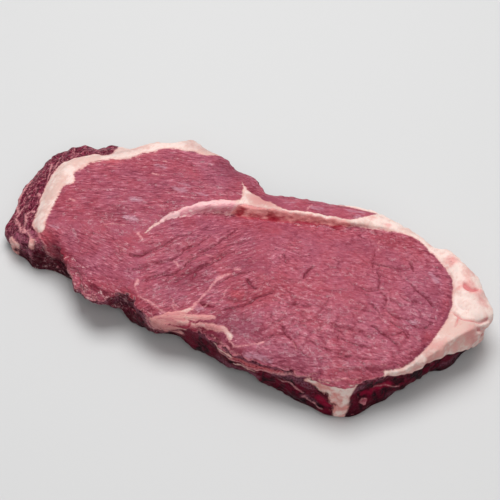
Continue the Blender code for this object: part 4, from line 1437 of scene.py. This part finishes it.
# %% Marks over lean and side
def marked(bench, colour, fine, ragged, silver):
    """A colour under a painted highlight on torn rims, lines of painted shade, cracks that are partly painted
    shade, silvery skin with a painted sheen, threads, tatters and fringes of fat.
    """
    cut = bench.kept("cut")
    torn = bench.ramp(bench.grain(1.4, 2.0, 0.6), 0.36, 0.56)
    near = bench.kept("near")
    rim_highlight = bench.ramp(cut, 0.10, 0.45) * bench.ramp(cut, 0.95, 0.65) * bench.ramp(near, 0.02, 0.2)
    bruise = bench.ramp(bench.kept("bruise") + ragged * 1.2, -1.4, 1.0)
    crack = bench.ramp(bench.kept("crack") + ragged * 0.6, -0.5, 0.40) * (torn * 0.35 + 0.65)
    thread = bench.ramp(bench.kept("thread") + ragged * 0.6, -0.4, 0.5) * (torn * 0.6 + 0.4)
    shreds = bench.ramp(bench.grain(1.5, 3.0, 0.7, -30, 2.0), 0.56, 0.68)
    tatter = bench.ramp(bench.kept("torn"), 0.15, 0.8) * shreds
    fringe = bench.ramp(bench.kept("fat") + (fine - 0.5) * 5.0, -4.2, 0.4) * bench.kept("fringe")
    return bench.coats(
        colour,
        # the rim's edge: a pale pink line, partly pale torn tissue and partly a painted highlight
        (rim_highlight * torn, 0.75, SIDE_RIM_PALE_AND_HIGHLIGHT),
        # painted shade: dark lines under the knob and along the near rim and the torn edge
        (bruise, 0.7, CRACK_AND_SHADE_RED),
        # cracks: dark red, partly the deeper flesh in them and partly painted shade in the creases
        (crack, 0.92, CRACK_AND_SHADE_RED),
        # silvery skin: its own pale tint and a painted sheen of the light on the wet skin
        (silver, 0.7, SKIN_AND_SHEEN_TINT),
        (thread, 0.85, THREAD),
        (tatter, 0.55, SEAM_PALE),
        (fringe, 0.8, FRINGE),
    )


def front_colour(bench):
    """The seam's front: cream at its top, red below, stained with blood."""
    grain = bench.grain(1.6, 2.0, 0.5, 4, 2.2)
    drop = bench.kept("drop") + (grain - 0.5) * 1.2
    stain = bench.ramp(bench.kept("stain") + (grain - 0.5), 0.2, 0.8)
    return bench.coats(bench.mix(bench.ramp(drop, 0.15, 0.95), SEAM_CREAM, SEAM_RED), (stain, 0.8, BLOOD))


# %% Bump and gloss
BUMP_STRENGTH, BUMP_DEPTH = 0.8, 0.55
EVEN_FINISH = {
    "Coat_Roughness": 0.12, "Specular_IOR_Level": 0.07, "Subsurface_Weight": 0.10,
    "Subsurface_Radius": (1.0, 0.35, 0.25), "Subsurface_Scale": 1.2 * MM,
}


def fibre_bump(bench, fine, bundle, net, fat):
    """Fibres, bundles and the net of cracks on the lean, and faint wrinkles on the fat."""
    flesh = 1 - fat * 0.8
    height = bench.grain(0.6, 3.0, 0.65) * (0.25 + flesh * 0.25) + fine * flesh * 0.7
    height = height + (bench.ramp(bundle, 0.0, 0.30) * 0.20 + bench.ramp(net, 0.0, 0.16) * 0.36) * flesh
    height = height + bench.grain(2.0, 3.0, 0.6, 72, 2.0) * fat * 0.5
    sockets = {"Strength": BUMP_STRENGTH, "Distance": BUMP_DEPTH * MM, "Height": height}
    return bench.node("ShaderNodeBump", {}, sockets)


def wetness(bench, silver, fat):
    """The clear coat's weight: patches of moisture, most on the cut face and least on fat."""
    wet = bench.ramp(bench.grain(2.2, 3.0, 0.6), 0.48, 0.66, 0.04, 0.34)
    return bench.most(wet, silver * 0.2) * (bench.kept("cut") * 0.82 + 0.18) * (1 - fat * 0.6)


# %% All of it together
def raw_beef():
    """Lean and side, then marks, then fat, then the seam's front and the pits."""
    bench = Bench("raw_beef")
    fine = streaks(bench, 0.75, 4.5, 3.0)
    bundle = bundles(bench, 1.25, 4.2)
    net = bench.cells(6.0, -8, 1.9, 0.6)
    ragged = (bench.grain(0.9, 2.0, 0.6) - 0.5) * 1.5
    silver = bench.ramp(bench.kept("silver") + (fine - 0.5) * 5.0, -0.9, 1.0)
    fat = fat_mask(bench, fine, ragged)
    face = bench.ramp(bench.kept("cut"), 0.25, 0.85)
    colour = bench.mix(face, side_colour(bench), lean_colour(bench, fine, bundle, net))
    colour = marked(bench, colour, fine, ragged, silver)
    colour = bench.mix(fat, colour, fat_colour(bench, fine))
    front = bench.ramp(bench.kept("front") + ragged * 0.3, -0.4, 0.5)
    pit = bench.ramp(bench.kept("pit") + ragged * 0.7, -1.2, 0.7)
    # pits: near-black red, partly moist flesh and partly painted shade in the hollows
    colour = bench.coats(colour, (front, 0.9, front_colour(bench)), (pit, 0.9, PIT_AND_SHADE_RED))
    roughness = bench.ramp(bench.grain(1.7, 2.0, 0.5), 0.3, 0.7, 0.38, 0.58)
    bench.feed(Base_Color=colour, Roughness=roughness, Coat_Weight=wetness(bench, silver, fat))
    bench.feed(Normal=fibre_bump(bench, fine, bundle, net, fat))
    bench.set(**EVEN_FINISH)
    return bench.material


steak.data.materials.clear()
steak.data.materials.append(raw_beef())
print("nodes in the beef:", len(steak.data.materials[0].node_tree.nodes))

# %% [markdown]
# ## Hand over
# The steak stands for the imported node and rides on its body.

# %% Ride, replace and finish
deselect()
steak.select_set(True)
bpy.context.view_layer.objects.active = steak
bpy.ops.object.shade_smooth()
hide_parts("steak")
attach(steak, "root")


def corners(box):
    """A box as plain numbers."""
    return [[float(x) for x in corner] for corner in box]
